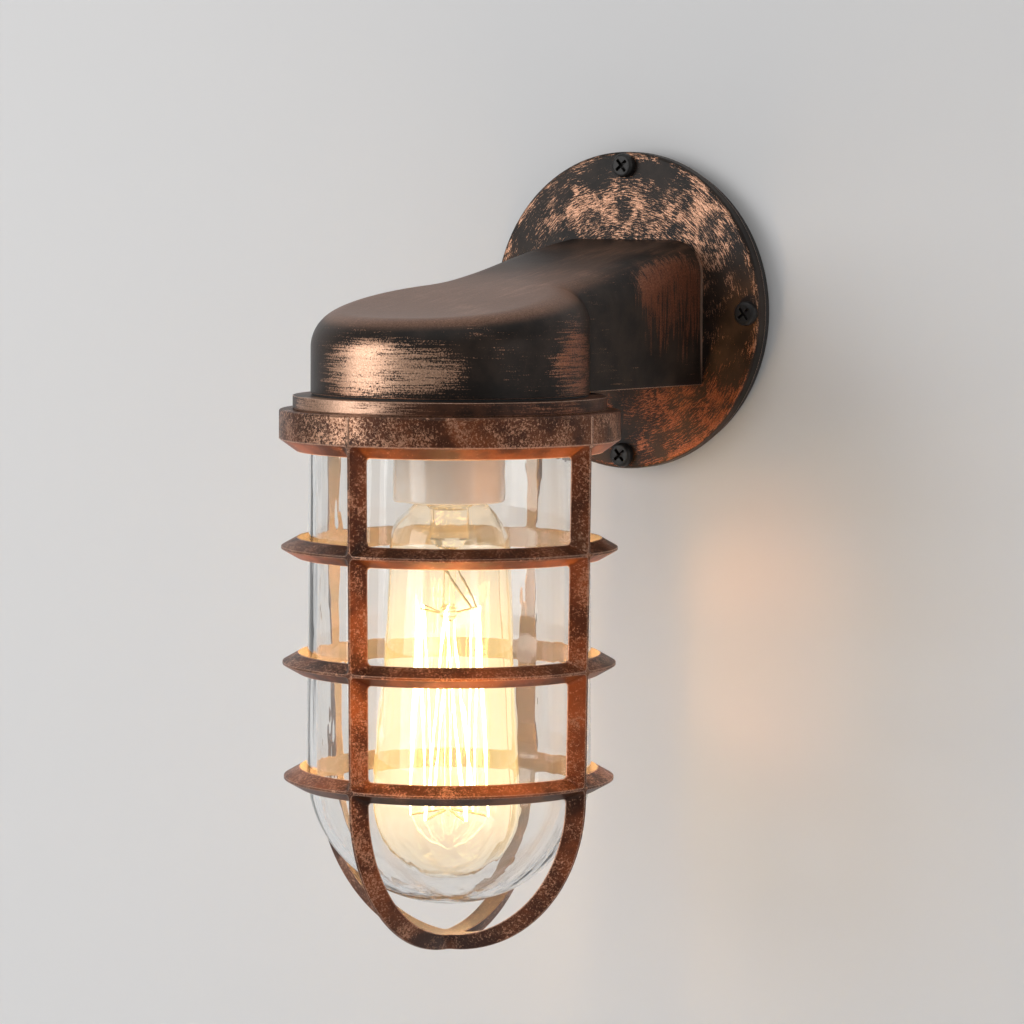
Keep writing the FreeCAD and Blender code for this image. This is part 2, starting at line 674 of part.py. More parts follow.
def cage():
    """One casting: a threaded collar with a lip under the jar's flange, bars and rings."""
    bore = THREAD_RADIUS + RUNNING_GAP
    inner = RIDGE_TOP_RADIUS - BAR_DEPTH
    collar = turned([(bore, COLLAR_TOP), (COLLAR_RADIUS, COLLAR_TOP), (COLLAR_RADIUS, COLLAR_BOTTOM),
                     (inner + PAST, COLLAR_BOTTOM - PAST), (inner, LIP_BOTTOM), (LIP_BORE, LIP_BOTTOM),
                     (LIP_BORE, LIP_TOP), (bore, LIP_TOP)])
    rim = [edge for edge in edges_at(collar, COLLAR_TOP) if edge.BoundBox.XMax > COLLAR_RADIUS - CLOSE]
    collar = collar.makeFillet(COLLAR_TOP_ROUND, rim)
    seam = box((bore + PAST, COLLAR_RADIUS + SEAM_PROUD), (-RIDGE_HALF_LAND, RIDGE_HALF_LAND),
               (COLLAR_BOTTOM - PAST, COLLAR_TOP - COLLAR_TOP_ROUND))
    body = cage_shell(0, 0, LIP_BOTTOM, COLLAR_BOTTOM)
    body = body.fuse([collar] + around(seam, BAR_COUNT)).removeSplitter()
    return body.cut(window_cutters())


# ---- glass jar

def jar_dome(inset):
    """A quarter ellipse from the jar's side to its lowest point."""
    points = []
    for step in range(DOME_STEPS + 1):
        angle = math.pi / 2 * step / DOME_STEPS
        radius = (JAR_RADIUS - inset) * math.cos(angle)
        points.append(V(radius, 0, JAR_DOME_CENTRE - (JAR_DOME_HEIGHT - inset) * math.sin(angle)))
    points[-1].x = 0
    spline = Part.BSplineCurve()
    spline.interpolate(points, InitialTangent=V(0, 0, -1), FinalTangent=V(-1, 0, 0))
    return spline.toShape()


def glass_jar():
    """A straight jar with a flange round its open top and a round bottom."""
    corners = [(JAR_RADIUS - JAR_WALL, JAR_DOME_CENTRE), (JAR_NECK_RADIUS - JAR_WALL, JAR_TOP),
               (JAR_FLANGE_RADIUS, JAR_TOP), (JAR_FLANGE_RADIUS, JAR_FLANGE_BOTTOM),
               (JAR_NECK_RADIUS, JAR_FLANGE_BOTTOM), (JAR_RADIUS, JAR_DOME_CENTRE)]
    edges = [line(start, end) for start, end in zip(corners, corners[1:])]
    edges += [jar_dome(0), jar_dome(JAR_WALL), line((0, JAR_BOTTOM), (0, JAR_BOTTOM + JAR_WALL))]
    jar = turned_edges(edges)
    level = edges_at(jar, JAR_TOP) + edges_at(jar, JAR_FLANGE_BOTTOM)
    rims = [edge for edge in level if edge.BoundBox.XMax > JAR_FLANGE_RADIUS - CLOSE]
    return jar.makeFillet(JAR_RIM_ROUND, rims)


# ---- lampholder

def holder_bracket():
    half = POST_SPACING / 2
    strap = box((-half, half), (-BRACKET_HALF_WIDTH, BRACKET_HALF_WIDTH), (HOLDER_TOP, BRACKET_TOP))
    strap = strap.common(cylinder(half, HOLDER_TOP, BRACKET_TOP))
    strap = strap.fuse([cylinder(POST_RADIUS, HOLDER_TOP, BRACKET_TOP, x=x) for x in (-half, half)])
    strap = strap.removeSplitter()
    for x in both_sides(POST_SPACING):
        strap = strap.cut(cylinder(M4_RADIUS + SCREW_GAP, HOLDER_TOP - PAST, BRACKET_TOP + PAST, x=x))
    for x in both_sides(HOLDER_SCREW_SPACING):
        strap = strap.cut(cylinder(M3_RADIUS + SCREW_GAP, HOLDER_TOP - PAST, BRACKET_TOP + PAST, x=x))
    return strap


def bracket_screws():
    one = screw(M4_RADIUS, BRACKET_THICKNESS + SCREW_BITE, M4_HEAD_RADIUS, M4_HEAD_HEIGHT)
    return [placed(one, V(x, 0, HOLDER_TOP), DOWN) for x in both_sides(POST_SPACING)]


def holder_screws():
    one = screw(M3_RADIUS, BRACKET_THICKNESS + HOLDER_SCREW_BITE, M3_HEAD_RADIUS, M3_HEAD_HEIGHT)
    return [placed(one, V(x, 0, BRACKET_TOP), UP) for x in both_sides(HOLDER_SCREW_SPACING)]


def thread_line(radius):
    """Rounded thread turns of the lamp's cap, as (radius, height) corners from the bottom up."""
    points = []
    for step in range(CAP_TURNS * THREAD_STEPS + 1):
        swell = (1 - math.cos(2 * math.pi * step / THREAD_STEPS)) / 2
        points.append((radius + CAP_THREAD_DEPTH * swell, THREAD_LOW + step * CAP_PITCH / THREAD_STEPS))
    return points


def holder_shell():
    """The brass screw shell: its thread follows the cap's, one moving gap further out."""
    under_roof = HOLDER_FLOOR - SHELL_THICKNESS
    inner = thread_line(SHELL_BORE)
    outer = thread_line(SHELL_BORE + SHELL_THICKNESS)
    roof = [(SHELL_BORE + SHELL_THICKNESS, HOLDER_FLOOR), (SHELL_EYE_RADIUS, HOLDER_FLOOR),
            (SHELL_EYE_RADIUS, under_roof), (SHELL_BORE, under_roof)]
    return turned(outer + roof + inner[::-1])


def lampholder():
    body = cylinder(HOLDER_RADIUS, HOLDER_BOTTOM, HOLDER_TOP)
    body = body.makeFillet(HOLDER_EDGE_ROUND, edges_at(body, HOLDER_BOTTOM) + edges_at(body, HOLDER_TOP))
    bore = SHELL_BORE + CAP_THREAD_DEPTH + SHELL_THICKNESS + RUNNING_GAP
    body = body.cut(cylinder(bore, HOLDER_BOTTOM - PAST, HOLDER_FLOOR))
    mouth = bore + HOLDER_CHAMFER
    bevel_top = HOLDER_BOTTOM + HOLDER_CHAMFER
    body = body.cut(turned([(0, HOLDER_BOTTOM - PAST), (mouth + PAST, HOLDER_BOTTOM - PAST),
                            (mouth, HOLDER_BOTTOM), (bore, bevel_top), (0, bevel_top)]))
    for x in both_sides(HOLDER_SCREW_SPACING):
        body = body.cut(cylinder(M3_RADIUS + RUNNING_GAP, HOLDER_FLOOR + PAST, HOLDER_TOP + PAST, x=x))
    half = TERMINAL_SIZE / 2
    for x in both_sides(TERMINAL_SPACING):
        slot = box((x - half, x + half), (TERMINAL_BACK - half, HOLDER_RADIUS + PAST),
                   (HOLDER_TOP - TERMINAL_SIZE, HOLDER_TOP + PAST))
        body = body.cut(slot)
    return body.cut(cylinder(M3_RADIUS + SCREW_GAP, HOLDER_BOTTOM, HOLDER_TOP + PAST))


def holder_contact():
    """The centre contact: a spring tongue below a rivet that is set in the holder's roof."""
    tongue = cylinder(CAP_CONTACT_RADIUS, CONTACT_FACE, CONTACT_FACE + CONTACT_THICKNESS)
    rivet = cylinder(M3_RADIUS, CONTACT_FACE, HOLDER_TOP - SCREW_GAP)
    return tongue.fuse(rivet).removeSplitter()


def holder_terminals():
    """Brass clamps in the holder's top slots. A wire enters each from above."""
    blocks = []
    half = TERMINAL_SIZE / 2
    for x in both_sides(TERMINAL_SPACING):
        block = box((x - half, x + half), (TERMINAL_BACK - half, TERMINAL_BACK + half),
                    (HOLDER_TOP - TERMINAL_SIZE, HOLDER_TOP))
        low = HOLDER_TOP - TERMINAL_HOLE_DEPTH
        block = block.cut(cylinder(WIRE_RADIUS + RUNNING_GAP, low, HOLDER_TOP + PAST, x, TERMINAL_BACK))
        face = V(x, TERMINAL_BACK + half, TERMINAL_MIDDLE)
        blocks.append(block.cut(Part.makeCylinder(M3_RADIUS + RUNNING_GAP, half, face, OUT_OF_WALL)))
    return blocks


def terminal_screws():
    reach = TERMINAL_SIZE / 2 - WIRE_RADIUS - RUNNING_GAP
    one = screw(M3_RADIUS, reach, M3_HEAD_RADIUS, M3_HEAD_HEIGHT)
    y = TERMINAL_BACK + TERMINAL_SIZE / 2
    return [placed(one, V(x, y, TERMINAL_MIDDLE), TO_WALL) for x in both_sides(TERMINAL_SPACING)]


# ---- lamp

def bulb_cap():
    """The brass screw cap, a thin shell with a rolled thread."""
    rim = [(CAP_RIM_RADIUS, BULB_TOP), (CAP_RIM_RADIUS, HOLDER_BOTTOM + CAP_LIP),
           (CAP_LINE_RADIUS, HOLDER_BOTTOM + HOLDER_CHAMFER + PAST)]
    return turned(rim + thread_line(CAP_LINE_RADIUS) + thread_line(CAP_BORE)[::-1] + [(CAP_BORE, BULB_TOP)])


def bulb_insulator():
    """The dark glass bead between the cap and its centre contact."""
    return turned([(0, CAP_THREAD_TOP), (CAP_LINE_RADIUS, CAP_THREAD_TOP),
                   (CAP_LINE_RADIUS - INSULATOR_SHOULDER, CAP_THREAD_TOP + INSULATOR_STEP),
                   (CAP_CONTACT_RADIUS, INSULATOR_TOP), (0, INSULATOR_TOP)])


def bulb_contact():
    button = cylinder(CAP_CONTACT_RADIUS, INSULATOR_TOP, CAP_TIP)
    return button.makeFillet(CAP_CONTACT_ROUND, edges_at(button, CAP_TIP))


def bulb_line(inset):
    """Half the bulb's outline: shoulder, long straight side and round bottom, from neck to tip."""
    neck = (BULB_NECK_RADIUS - inset, BULB_TOP)
    shoulder = (BULB_SHOULDER_RADIUS - inset, HOLDER_BOTTOM - BULB_SHOULDER_HEIGHT)
    swell = (neck[0] + (shoulder[0] - neck[0]) * SWELL_OUT, neck[1] + (shoulder[1] - neck[1]) * SWELL_DOWN)
    radius = BULB_RADIUS - inset
    centre = BULB_BOTTOM + BULB_RADIUS
    run = shoulder[1] - centre
    spread = math.hypot(run, shoulder[0])
    lean = math.atan2(run, shoulder[0]) - math.acos(radius / spread)
    touch = (radius * math.cos(lean), centre + radius * math.sin(lean))
    middle = (radius * math.sqrt(0.5), centre - radius * math.sqrt(0.5))
    tip = (0, centre - radius)
    return [arc(neck, swell, shoulder), line(shoulder, touch), arc(touch, middle, tip)], neck, tip


def bulb_glass():
    outer, neck, tip = bulb_line(0)
    inner, neck_in, tip_in = bulb_line(BULB_GLASS)
    return turned_edges(outer + inner + [line(neck, neck_in), line(tip, tip_in)])


def bulb_stem():
    """The glass foot inside the neck, its thin rod and the bead that holds the support wires."""
    flare = CAP_BORE - RUNNING_GAP
    points = [(0, BULB_TOP + PAST), (flare, BULB_TOP + PAST), (STEM_RADIUS, BULB_TOP - STEM_TAPER),
              (STEM_RADIUS, STEM_FOOT + STEM_TAPER), (STEM_FOOT_RADIUS, STEM_FOOT),
              (ROD_RADIUS, STEM_FOOT - STEM_FOOT_DEPTH), (ROD_RADIUS, BUTTON_HEIGHT + BUTTON_RADIUS),
              (BUTTON_RADIUS, BUTTON_HEIGHT + BUTTON_HALF_HEIGHT),
              (BUTTON_RADIUS, BUTTON_HEIGHT - BUTTON_HALF_HEIGHT),
              (LOW_ROD_RADIUS, BUTTON_HEIGHT - BUTTON_RADIUS), (LOW_ROD_RADIUS, FILAMENT_BOTTOM),
              (0, FILAMENT_BOTTOM)]
    return turned(points)


def rod(start, end, radius):
    run = end - start
    return Part.makeCylinder(radius, run.Length, start, run)


def bent_wire(points, radius):
    """A wire of straight runs, with a ball at each bend."""
    pieces = [rod(start, end, radius) for start, end in zip(points, points[1:])]
    pieces += [Part.makeSphere(radius, point) for point in points[1:-1]]
    return pieces[0].fuse(pieces[1:])


def spot(radius, angle, height):
    x, y = on_circle(radius, angle)
    return V(x, y, height)


def last_strand_angle():
    """The last strand comes up just short of the first one."""
    return TURN - TURN / (FILAMENT_LOOPS * 2) * FILAMENT_LAST_SHARE


def filament():
    """The long squirrel-cage filament: straight runs down and up between two rings of hooks."""
    points = []
    for index in range(FILAMENT_LOOPS * 2):
        angle = index * TURN / (FILAMENT_LOOPS * 2)
        if index % 2:
            points.append(spot(FILAMENT_LOW_RADIUS, angle, FILAMENT_BOTTOM))
        else:
            points.append(spot(FILAMENT_TOP_RADIUS, angle, FILAMENT_TOP))
    points.append(spot(FILAMENT_TOP_RADIUS, last_strand_angle(), FILAMENT_TOP))
    return bent_wire(points, FILAMENT_WIRE)


def support_wires(bead_height, bead_radius, hook_height, hook_radius, angles):
    """Thin wires from the glass rod out to the filament's bends."""
    reach = hook_radius - FILAMENT_WIRE - SUPPORT_WIRE - RUNNING_GAP
    return [rod(spot(bead_radius, angle, bead_height), spot(reach, angle, hook_height), SUPPORT_WIRE)
            for angle in angles]


def upper_supports():
    angles = [index * TURN / FILAMENT_LOOPS for index in range(1, FILAMENT_LOOPS)]
    bead = BUTTON_RADIUS + SCREW_GAP
    return support_wires(BUTTON_HEIGHT, bead, FILAMENT_TOP, FILAMENT_TOP_RADIUS, angles)


def lower_supports():
    angles = [(index + 0.5) * TURN / FILAMENT_LOOPS for index in range(FILAMENT_LOOPS)]
    return support_wires(FILAMENT_BOTTOM + SUPPORT_SLOPE, LOW_ROD_RADIUS + SCREW_GAP, FILAMENT_BOTTOM,
                         FILAMENT_LOW_RADIUS, angles)


def lead_wires():
    """Two wires from the stem's foot down to the filament's two ends, one each side of the rod."""
    wires = []
    for side, angle in ((1, 0), (-1, last_strand_angle())):
        start = V(0, side * LEAD_OFFSET, STEM_FOOT - LEAD_START)
        bend = V(0, side * LEAD_SPREAD, STEM_FOOT - LEAD_BEND)
        end = spot(FILAMENT_TOP_RADIUS, angle, FILAMENT_TOP + LEAD_END)
        wires.append(bent_wire([start, bend, end], LEAD_WIRE))
    return wires


# ---- terminal block and the wires inside

def block_ways():
    return [(index - (BLOCK_WAYS - 1) / 2) * BLOCK_WAY_SPACING for index in range(BLOCK_WAYS)]


def block_screw_depths():
    return [BLOCK_DEPTH * share - BLOCK_FRONT for share in BLOCK_SCREW_SHARES]


def terminal_block():
    """A porcelain block on the arm's floor."""
    half = BLOCK_WIDTH / 2
    front = -BLOCK_FRONT
    body = box((-half, half), (front, front + BLOCK_DEPTH), (ARM_FLOOR, ARM_FLOOR + BLOCK_HEIGHT))
    for x in block_ways():
        start = V(x, front - PAST, WIRE_HEIGHT)
        end = V(x, front + BLOCK_DEPTH + PAST, WIRE_HEIGHT)
        body = body.cut(rod(start, end, INSERT_RADIUS + RUNNING_GAP))
        for y in block_screw_depths():
            body = body.cut(cylinder(M3_HEAD_RADIUS + RUNNING_GAP, WIRE_HEIGHT, CAST_FOOT, x, y))
    return body


def block_inserts():
    inserts = []
    past = V(0, PAST, 0)
    for x in block_ways():
        start = V(x, INSERT_INSET - BLOCK_FRONT, WIRE_HEIGHT)
        end = V(x, BLOCK_DEPTH - INSERT_INSET - BLOCK_FRONT, WIRE_HEIGHT)
        body = rod(start, end, INSERT_RADIUS).cut(rod(start - past, end + past, INSERT_BORE))
        for y in block_screw_depths():
            body = body.cut(cylinder(M3_RADIUS + RUNNING_GAP, WIRE_HEIGHT, CAST_FOOT, x, y))
        inserts.append(body)
    return inserts


def block_screws():
    reach = INSERT_RADIUS - WIRE_RADIUS - RUNNING_GAP
    one = screw(M3_RADIUS, reach, M3_HEAD_RADIUS, M3_HEAD_HEIGHT)
    seat = WIRE_HEIGHT + INSERT_RADIUS
    return [placed(one, V(x, y, seat), UP) for x in block_ways() for y in block_screw_depths()]


def lamp_wire(way):
    """From a lampholder terminal up, back through the arm and into the terminal block."""
    y = TERMINAL_BACK - LAMP_REACH
    start = V(way, y, HOLDER_TOP - TERMINAL_WIRE_DEPTH)
    before_turn = V(way, y, WIRE_HEIGHT - WIRE_TURN)
    after_turn = V(way, y + WIRE_TURN, WIRE_HEIGHT)
    middle = V(way, y + WIRE_TURN * (1 - math.sqrt(0.5)), WIRE_HEIGHT - WIRE_TURN * (1 - math.sqrt(0.5)))
    end = V(way, BLOCK_WIRE_END - BLOCK_FRONT, WIRE_HEIGHT)
    path = Part.Wire([Part.makeLine(start, before_turn), Part.Arc(before_turn, middle, after_turn).toShape(),
                      Part.makeLine(after_turn, end)])
    section = Part.Wire(Part.makeCircle(WIRE_RADIUS, start, UP))
    return path.makePipeShell([section], True, False)


def earth_wire():
    start = LUG_PLACE + V(0, EARTH_BOSS_RADIUS + LUG_WIRE_END, LUG_THICKNESS / 2)
    return rod(start, V(0, BLOCK_WIRE_END - BLOCK_FRONT, WIRE_HEIGHT), WIRE_RADIUS)


def earth_lug():
    """An eye under the earth screw, and a barrel that grips the earth wire."""
    eye = Part.makeCylinder(LUG_EYE_RADIUS, LUG_THICKNESS, LUG_PLACE, UP)
    neck = box((-LUG_BARREL_RADIUS, LUG_BARREL_RADIUS), (LUG_PLACE.y, LUG_PLACE.y + EARTH_BOSS_RADIUS + PAST),
               (LUG_BOTTOM, LUG_BOTTOM + LUG_THICKNESS))
    start = LUG_PLACE + V(0, EARTH_BOSS_RADIUS, LUG_THICKNESS / 2)
    end = start + V(0, LUG_BARREL_LENGTH, 0)
    lug = eye.fuse([neck, rod(start, end, LUG_BARREL_RADIUS)]).removeSplitter()
    bore_start = end - V(0, LUG_BORE_DEPTH, 0)
    lug = lug.cut(rod(bore_start, end + V(0, PAST, 0), WIRE_RADIUS + RUNNING_GAP))
    below = LUG_PLACE - V(0, 0, PAST)
    return lug.cut(Part.makeCylinder(M3_RADIUS + SCREW_GAP, LUG_THICKNESS + 2 * PAST, below, UP))


def earth_screw():
    one = screw(M3_RADIUS, LUG_THICKNESS + LUG_BOTTOM - ARM_FLOOR, M3_HEAD_RADIUS, M3_HEAD_HEIGHT)
    return placed(one, LUG_PLACE + V(0, 0, LUG_THICKNESS), UP)


# ---- the whole light

def main():
    os.makedirs("parts", exist_ok=True)
    save("wall_base", wall_base())
    save("cable_grommet", cable_grommet())
    save("base_gasket", base_gasket())
    save("canopy_plate", canopy_plate())
    save("cover_screws", *cover_screws())
    save("arm_screws", *arm_screws())
    about_lamp = {
        "arm_hood": [arm_hood()],
        "neck_gasket": [neck_gasket()],
        "neck_ring": [neck_ring()],
        "neck_screws": neck_screws(),
        "jar_gasket": [jar_gasket()],
        "holder_bracket": [holder_bracket()],
        "bracket_screws": bracket_screws(),
        "holder_screws": holder_screws(),
        "lampholder": [lampholder()],
        "holder_shell": [holder_shell()],
        "holder_contact": [holder_contact()],
        "holder_terminals": holder_terminals(),
        "terminal_screws": terminal_screws(),
        "guard_cage": [cage()],
        "glass_jar": [glass_jar()],
        "bulb_glass": [bulb_glass()],
        "bulb_cap": [bulb_cap()],
        "bulb_insulator": [bulb_insulator()],
        "bulb_contact": [bulb_contact()],
        "bulb_stem": [bulb_stem()],
        "lead_wires": lead_wires(),
        "upper_supports": upper_supports(),
        "lower_supports": lower_supports(),
        "filament": [filament()],
    }
    for name, solids in about_lamp.items():
        save(name, *[at_lamp(solid) for solid in solids])
    save("terminal_block", terminal_block())
    save("block_inserts", *block_inserts())
    save("block_screws", *block_screws())
    save("live_wire", lamp_wire(block_ways()[0]))
    save("neutral_wire", lamp_wire(block_ways()[-1]))
    save("earth_wire", earth_wire())
    save("earth_lug", earth_lug())
    save("earth_screw", earth_screw())


main()
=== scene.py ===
# %% [markdown]
# # A cage wall light, lit
#
# This lesson dresses a cage wall light: a cast hood and arm on a round wall plate, with a
# long lamp in a glass jar inside a screwed-on guard. The shapes and their places come from
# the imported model. What is made here is the finish: dark castings that somebody went over
# with a nearly dry brush of copper paint, pressed glass, porcelain, and a glowing filament.

# %% Load the frame
import math

import bpy
from mathutils import Matrix, Vector


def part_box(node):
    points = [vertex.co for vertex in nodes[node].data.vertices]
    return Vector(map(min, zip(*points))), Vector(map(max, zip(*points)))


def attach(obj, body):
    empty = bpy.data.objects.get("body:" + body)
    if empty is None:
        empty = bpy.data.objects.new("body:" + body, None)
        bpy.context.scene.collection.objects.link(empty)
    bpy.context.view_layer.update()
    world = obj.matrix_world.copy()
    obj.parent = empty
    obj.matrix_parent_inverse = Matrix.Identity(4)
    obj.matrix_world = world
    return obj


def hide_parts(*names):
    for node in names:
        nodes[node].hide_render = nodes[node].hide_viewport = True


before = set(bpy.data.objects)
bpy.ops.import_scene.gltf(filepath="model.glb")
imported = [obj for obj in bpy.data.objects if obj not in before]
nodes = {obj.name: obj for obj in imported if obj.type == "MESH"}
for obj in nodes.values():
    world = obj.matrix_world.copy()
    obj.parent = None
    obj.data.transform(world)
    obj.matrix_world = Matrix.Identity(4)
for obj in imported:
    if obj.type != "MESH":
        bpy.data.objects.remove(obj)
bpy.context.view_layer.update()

# %% [markdown]
# ## The camera
#
# The view is a quarter view from the front right, a little above the lamp's middle. It could
# be set by eye, but a long lens hides how far off such a guess is. So the camera's place and
# its three angles are written as they were worked out from the outlines of the round parts.

# %% Camera
AZIMUTH = math.radians(34.808)
PITCH = math.radians(4.261)
ROLL = math.radians(0.267)
CAMERA_PLACE = Vector((1.091605, -1.665801, 0.060147))
LENS_MM = 161.28

level_share = math.cos(PITCH)
back = Vector((math.sin(AZIMUTH) * level_share, -math.cos(AZIMUTH) * level_share, math.sin(PITCH)))
right = Vector((math.cos(AZIMUTH), math.sin(AZIMUTH), 0))
up = back.cross(right)
across = right * math.cos(ROLL) + up * math.sin(ROLL)
upward = up * math.cos(ROLL) - right * math.sin(ROLL)

camera_data = bpy.data.cameras.new("camera")
camera_data.lens = LENS_MM
camera_data.sensor_width = 36
camera = bpy.data.objects.new("camera", camera_data)
turn = Matrix((across, upward, back)).transposed().to_4x4()
camera.matrix_world = Matrix.Translation(CAMERA_PLACE) @ turn
bpy.context.scene.collection.objects.link(camera)
bpy.context.scene.camera = camera
bpy.context.scene.view_settings.view_transform = "Standard"
print("camera at", [round(value, 3) for value in camera.location])

# %% [markdown]
# ## Small helpers for shader trees
#
# Every finish below is a tree of shader nodes. Written out call by call, such trees are long
# and hard to follow. Two helpers keep each node on one or two lines: `put` adds a node and
# fills or links its inputs, and `shader_group` starts a group with named inputs and outputs.

# %% Shader helpers
def put(tree, kind, values=None, **options):
    """Adds a shader node, sets its options, and fills or links its inputs."""
    node = tree.nodes.new("ShaderNode" + kind)
    for name, value in options.items():
        setattr(node, name, value)
    for key, value in (values or {}).items():
        if isinstance(value, bpy.types.NodeSocket):
            tree.links.new(value, node.inputs[key])
        else:
            node.inputs[key].default_value = value
    return node


def math_node(tree, operation, first, second=0.0):
    return put(tree, "Math", {0: first, 1: second}, operation=operation).outputs[0]


def vector_node(tree, operation, *vectors):
    return put(tree, "VectorMath", dict(enumerate(vectors)), operation=operation).outputs[0]


def scaled(tree, vector, factor):
    return vector_node(tree, "MULTIPLY", vector, factor)


def length_of(tree, vector):
    return put(tree, "VectorMath", {0: vector}, operation="LENGTH").outputs["Value"]


def dot(tree, first, second):
    return put(tree, "VectorMath", {0: first, 1: second}, operation="DOT_PRODUCT").outputs["Value"]


def parts_of(tree, vector):
    """The X, Y and Z of a vector."""
    return put(tree, "SeparateXYZ", {0: vector}).outputs


def ramp(tree, value, low, high, to_low=0.0, to_high=1.0):
    """A smooth step of a value between two limits."""
    limits = {"Value": value, "From Min": low, "From Max": high, "To Min": to_low, "To Max": to_high}
    return put(tree, "MapRange", limits, interpolation_type="SMOOTHSTEP").outputs["Result"]


def add_up(tree, base, *parts):
    """A base value plus masks, each with its own strength."""
    total = base
    for mask, strength in parts:
        total = math_node(tree, "ADD", total, math_node(tree, "MULTIPLY", mask, strength))
    return total


def blend_colour(tree, factor, first, second):
    return put(tree, "Mix", {0: factor, 6: first, 7: second}, data_type="RGBA").outputs[2]


def noise(tree, vector, scale, detail=4.0, roughness=0.6, distortion=0.0):
    values = {"Vector": vector, "Scale": scale, "Detail": detail, "Roughness": roughness,
              "Distortion": distortion}
    return put(tree, "TexNoise", values).outputs["Fac"]


def shader_group(name, inputs, outputs):
    """A node group with (label, kind, value) inputs and (label, kind) outputs."""
    tree = bpy.data.node_groups.new(name, "ShaderNodeTree")
    for label, kind, value in inputs:
        socket = tree.interface.new_socket(label, in_out="INPUT", socket_type="NodeSocket" + kind)
        if value is not None:
            socket.default_value = value
    for label, kind in outputs:
        tree.interface.new_socket(label, in_out="OUTPUT", socket_type="NodeSocket" + kind)
    entry = tree.nodes.new("NodeGroupInput").outputs
    leave = tree.nodes.new("NodeGroupOutput").inputs
    return tree, entry, leave


def place_group(tree, group, values):
    """Puts a group into a tree. Its inputs exist only once the group is set, so they are filled last."""
    node = put(tree, "Group", node_tree=group)
    for key, value in values.items():
        if isinstance(value, bpy.types.NodeSocket):
            tree.links.new(value, node.inputs[key])
        else:
            node.inputs[key].default_value = value
    return node.outputs


def fresh_material(name):
    """An empty material: its tree, its output, and coordinates in metres that ride with the piece."""
    material = bpy.data.materials.new(name)
    material.use_nodes = True
    tree = material.node_tree
    tree.nodes.clear()
    output = put(tree, "OutputMaterial")
    metres = put(tree, "TexCoord").outputs["Object"]
    return material, tree, output, metres


def dress(material, *names):
    """Gives the named pieces one material."""
    for name in names:
        mesh = nodes[name].data
        mesh.materials.clear()
        mesh.materials.append(material)


# %% [markdown]
# ## Wall, floor and studio light
#
# The light hangs on a plain pale wall. A wall that only lit the camera would show no shadow,
# so it is a real diffuse surface, and the warm light of the lamp falls on it too. Seen from
# behind it disappears, so that the light can be looked at from there too. A large soft lamp
# at the front left gives the broad shine on the hood, and weaker ones fill in from above and
# from the right.

# %% Wall and floor
WALL_COLOUR = (0.83, 0.83, 0.835, 1)
WALL_GAP = 0.0003
ROOM_HALF = 4.0
FLOOR_HEIGHT = -0.75


def backdrop_material():
    material, tree, output, metres = fresh_material("pale_backdrop")
    plaster = noise(tree, metres, 90.0)
    bump = put(tree, "Bump", {"Height": plaster, "Strength": 0.02, "Distance": 0.001}).outputs[0]
    matte = put(tree, "BsdfDiffuse", {"Color": WALL_COLOUR, "Normal": bump}).outputs[0]
    clear = put(tree, "BsdfTransparent").outputs[0]
    behind = put(tree, "NewGeometry").outputs["Backfacing"]
    shown = put(tree, "MixShader", {0: behind, 1: matte, 2: clear}).outputs[0]
    tree.links.new(shown, output.inputs["Surface"])
    return material


def backdrop(name, corners, material):
    mesh = bpy.data.meshes.new(name)
    mesh.from_pydata(corners, [], [(0, 1, 2, 3)])
    mesh.materials.append(material)
    panel = bpy.data.objects.new(name, mesh)
    bpy.context.scene.collection.objects.link(panel)


pale = backdrop_material()
foot_left, foot_right = (-ROOM_HALF, WALL_GAP, FLOOR_HEIGHT), (ROOM_HALF, WALL_GAP, FLOOR_HEIGHT)
head_left, head_right = (-ROOM_HALF, WALL_GAP, ROOM_HALF), (ROOM_HALF, WALL_GAP, ROOM_HALF)
near_left, near_right = (-ROOM_HALF, -2 * ROOM_HALF, FLOOR_HEIGHT), (ROOM_HALF, -2 * ROOM_HALF, FLOOR_HEIGHT)
backdrop("wall", [foot_left, foot_right, head_right, head_left], pale)
backdrop("floor", [near_left, near_right, foot_right, foot_left], pale)
print("wall and floor are", 2 * ROOM_HALF, "m wide")

# %% Studio light
LAMP_AXIS = Vector((0, -0.1404, 0))
LAMP_MIDDLE = LAMP_AXIS + Vector((0, 0, -0.15))
STUDIO_DISTANCE = 2.2


def soft_lamp(name, azimuth, elevation, size, power):
    """A square soft lamp, at an azimuth and elevation in degrees, that faces the wall light."""
    data = bpy.data.lights.new(name, "AREA")
    data.size = size
    data.energy = power
    lamp = bpy.data.objects.new(name, data)
    swing, rise = math.radians(azimuth), math.radians(elevation)
    level = math.cos(rise)
    away = Vector((math.sin(swing) * level, -math.cos(swing) * level, math.sin(rise)))
    lamp.matrix_world = (Matrix.Translation(LAMP_MIDDLE + away * STUDIO_DISTANCE)
                         @ away.to_track_quat("Z", "Y").to_matrix().to_4x4())
    bpy.context.scene.collection.objects.link(lamp)


soft_lamp("key_front_left", -36, 12, 1.5, 20)
soft_lamp("fill_top", 10, 74, 2.0, 10)
soft_lamp("fill_right", 88, 12, 0.9, 5)
print("studio lamps:", [item.name for item in bpy.data.lights])

# %% [markdown]
# ### A small hidden lamp
#
# The guard's rings glow warm at their middle, where light of the filament comes back from the
# glass. A path tracer finds such light too rarely. So a small warm lamp stands in front of the
# rings. It lights the guard alone, and neither the eye nor the glass sees it. The lamps along
# the filament, further down, are made by the same two functions.

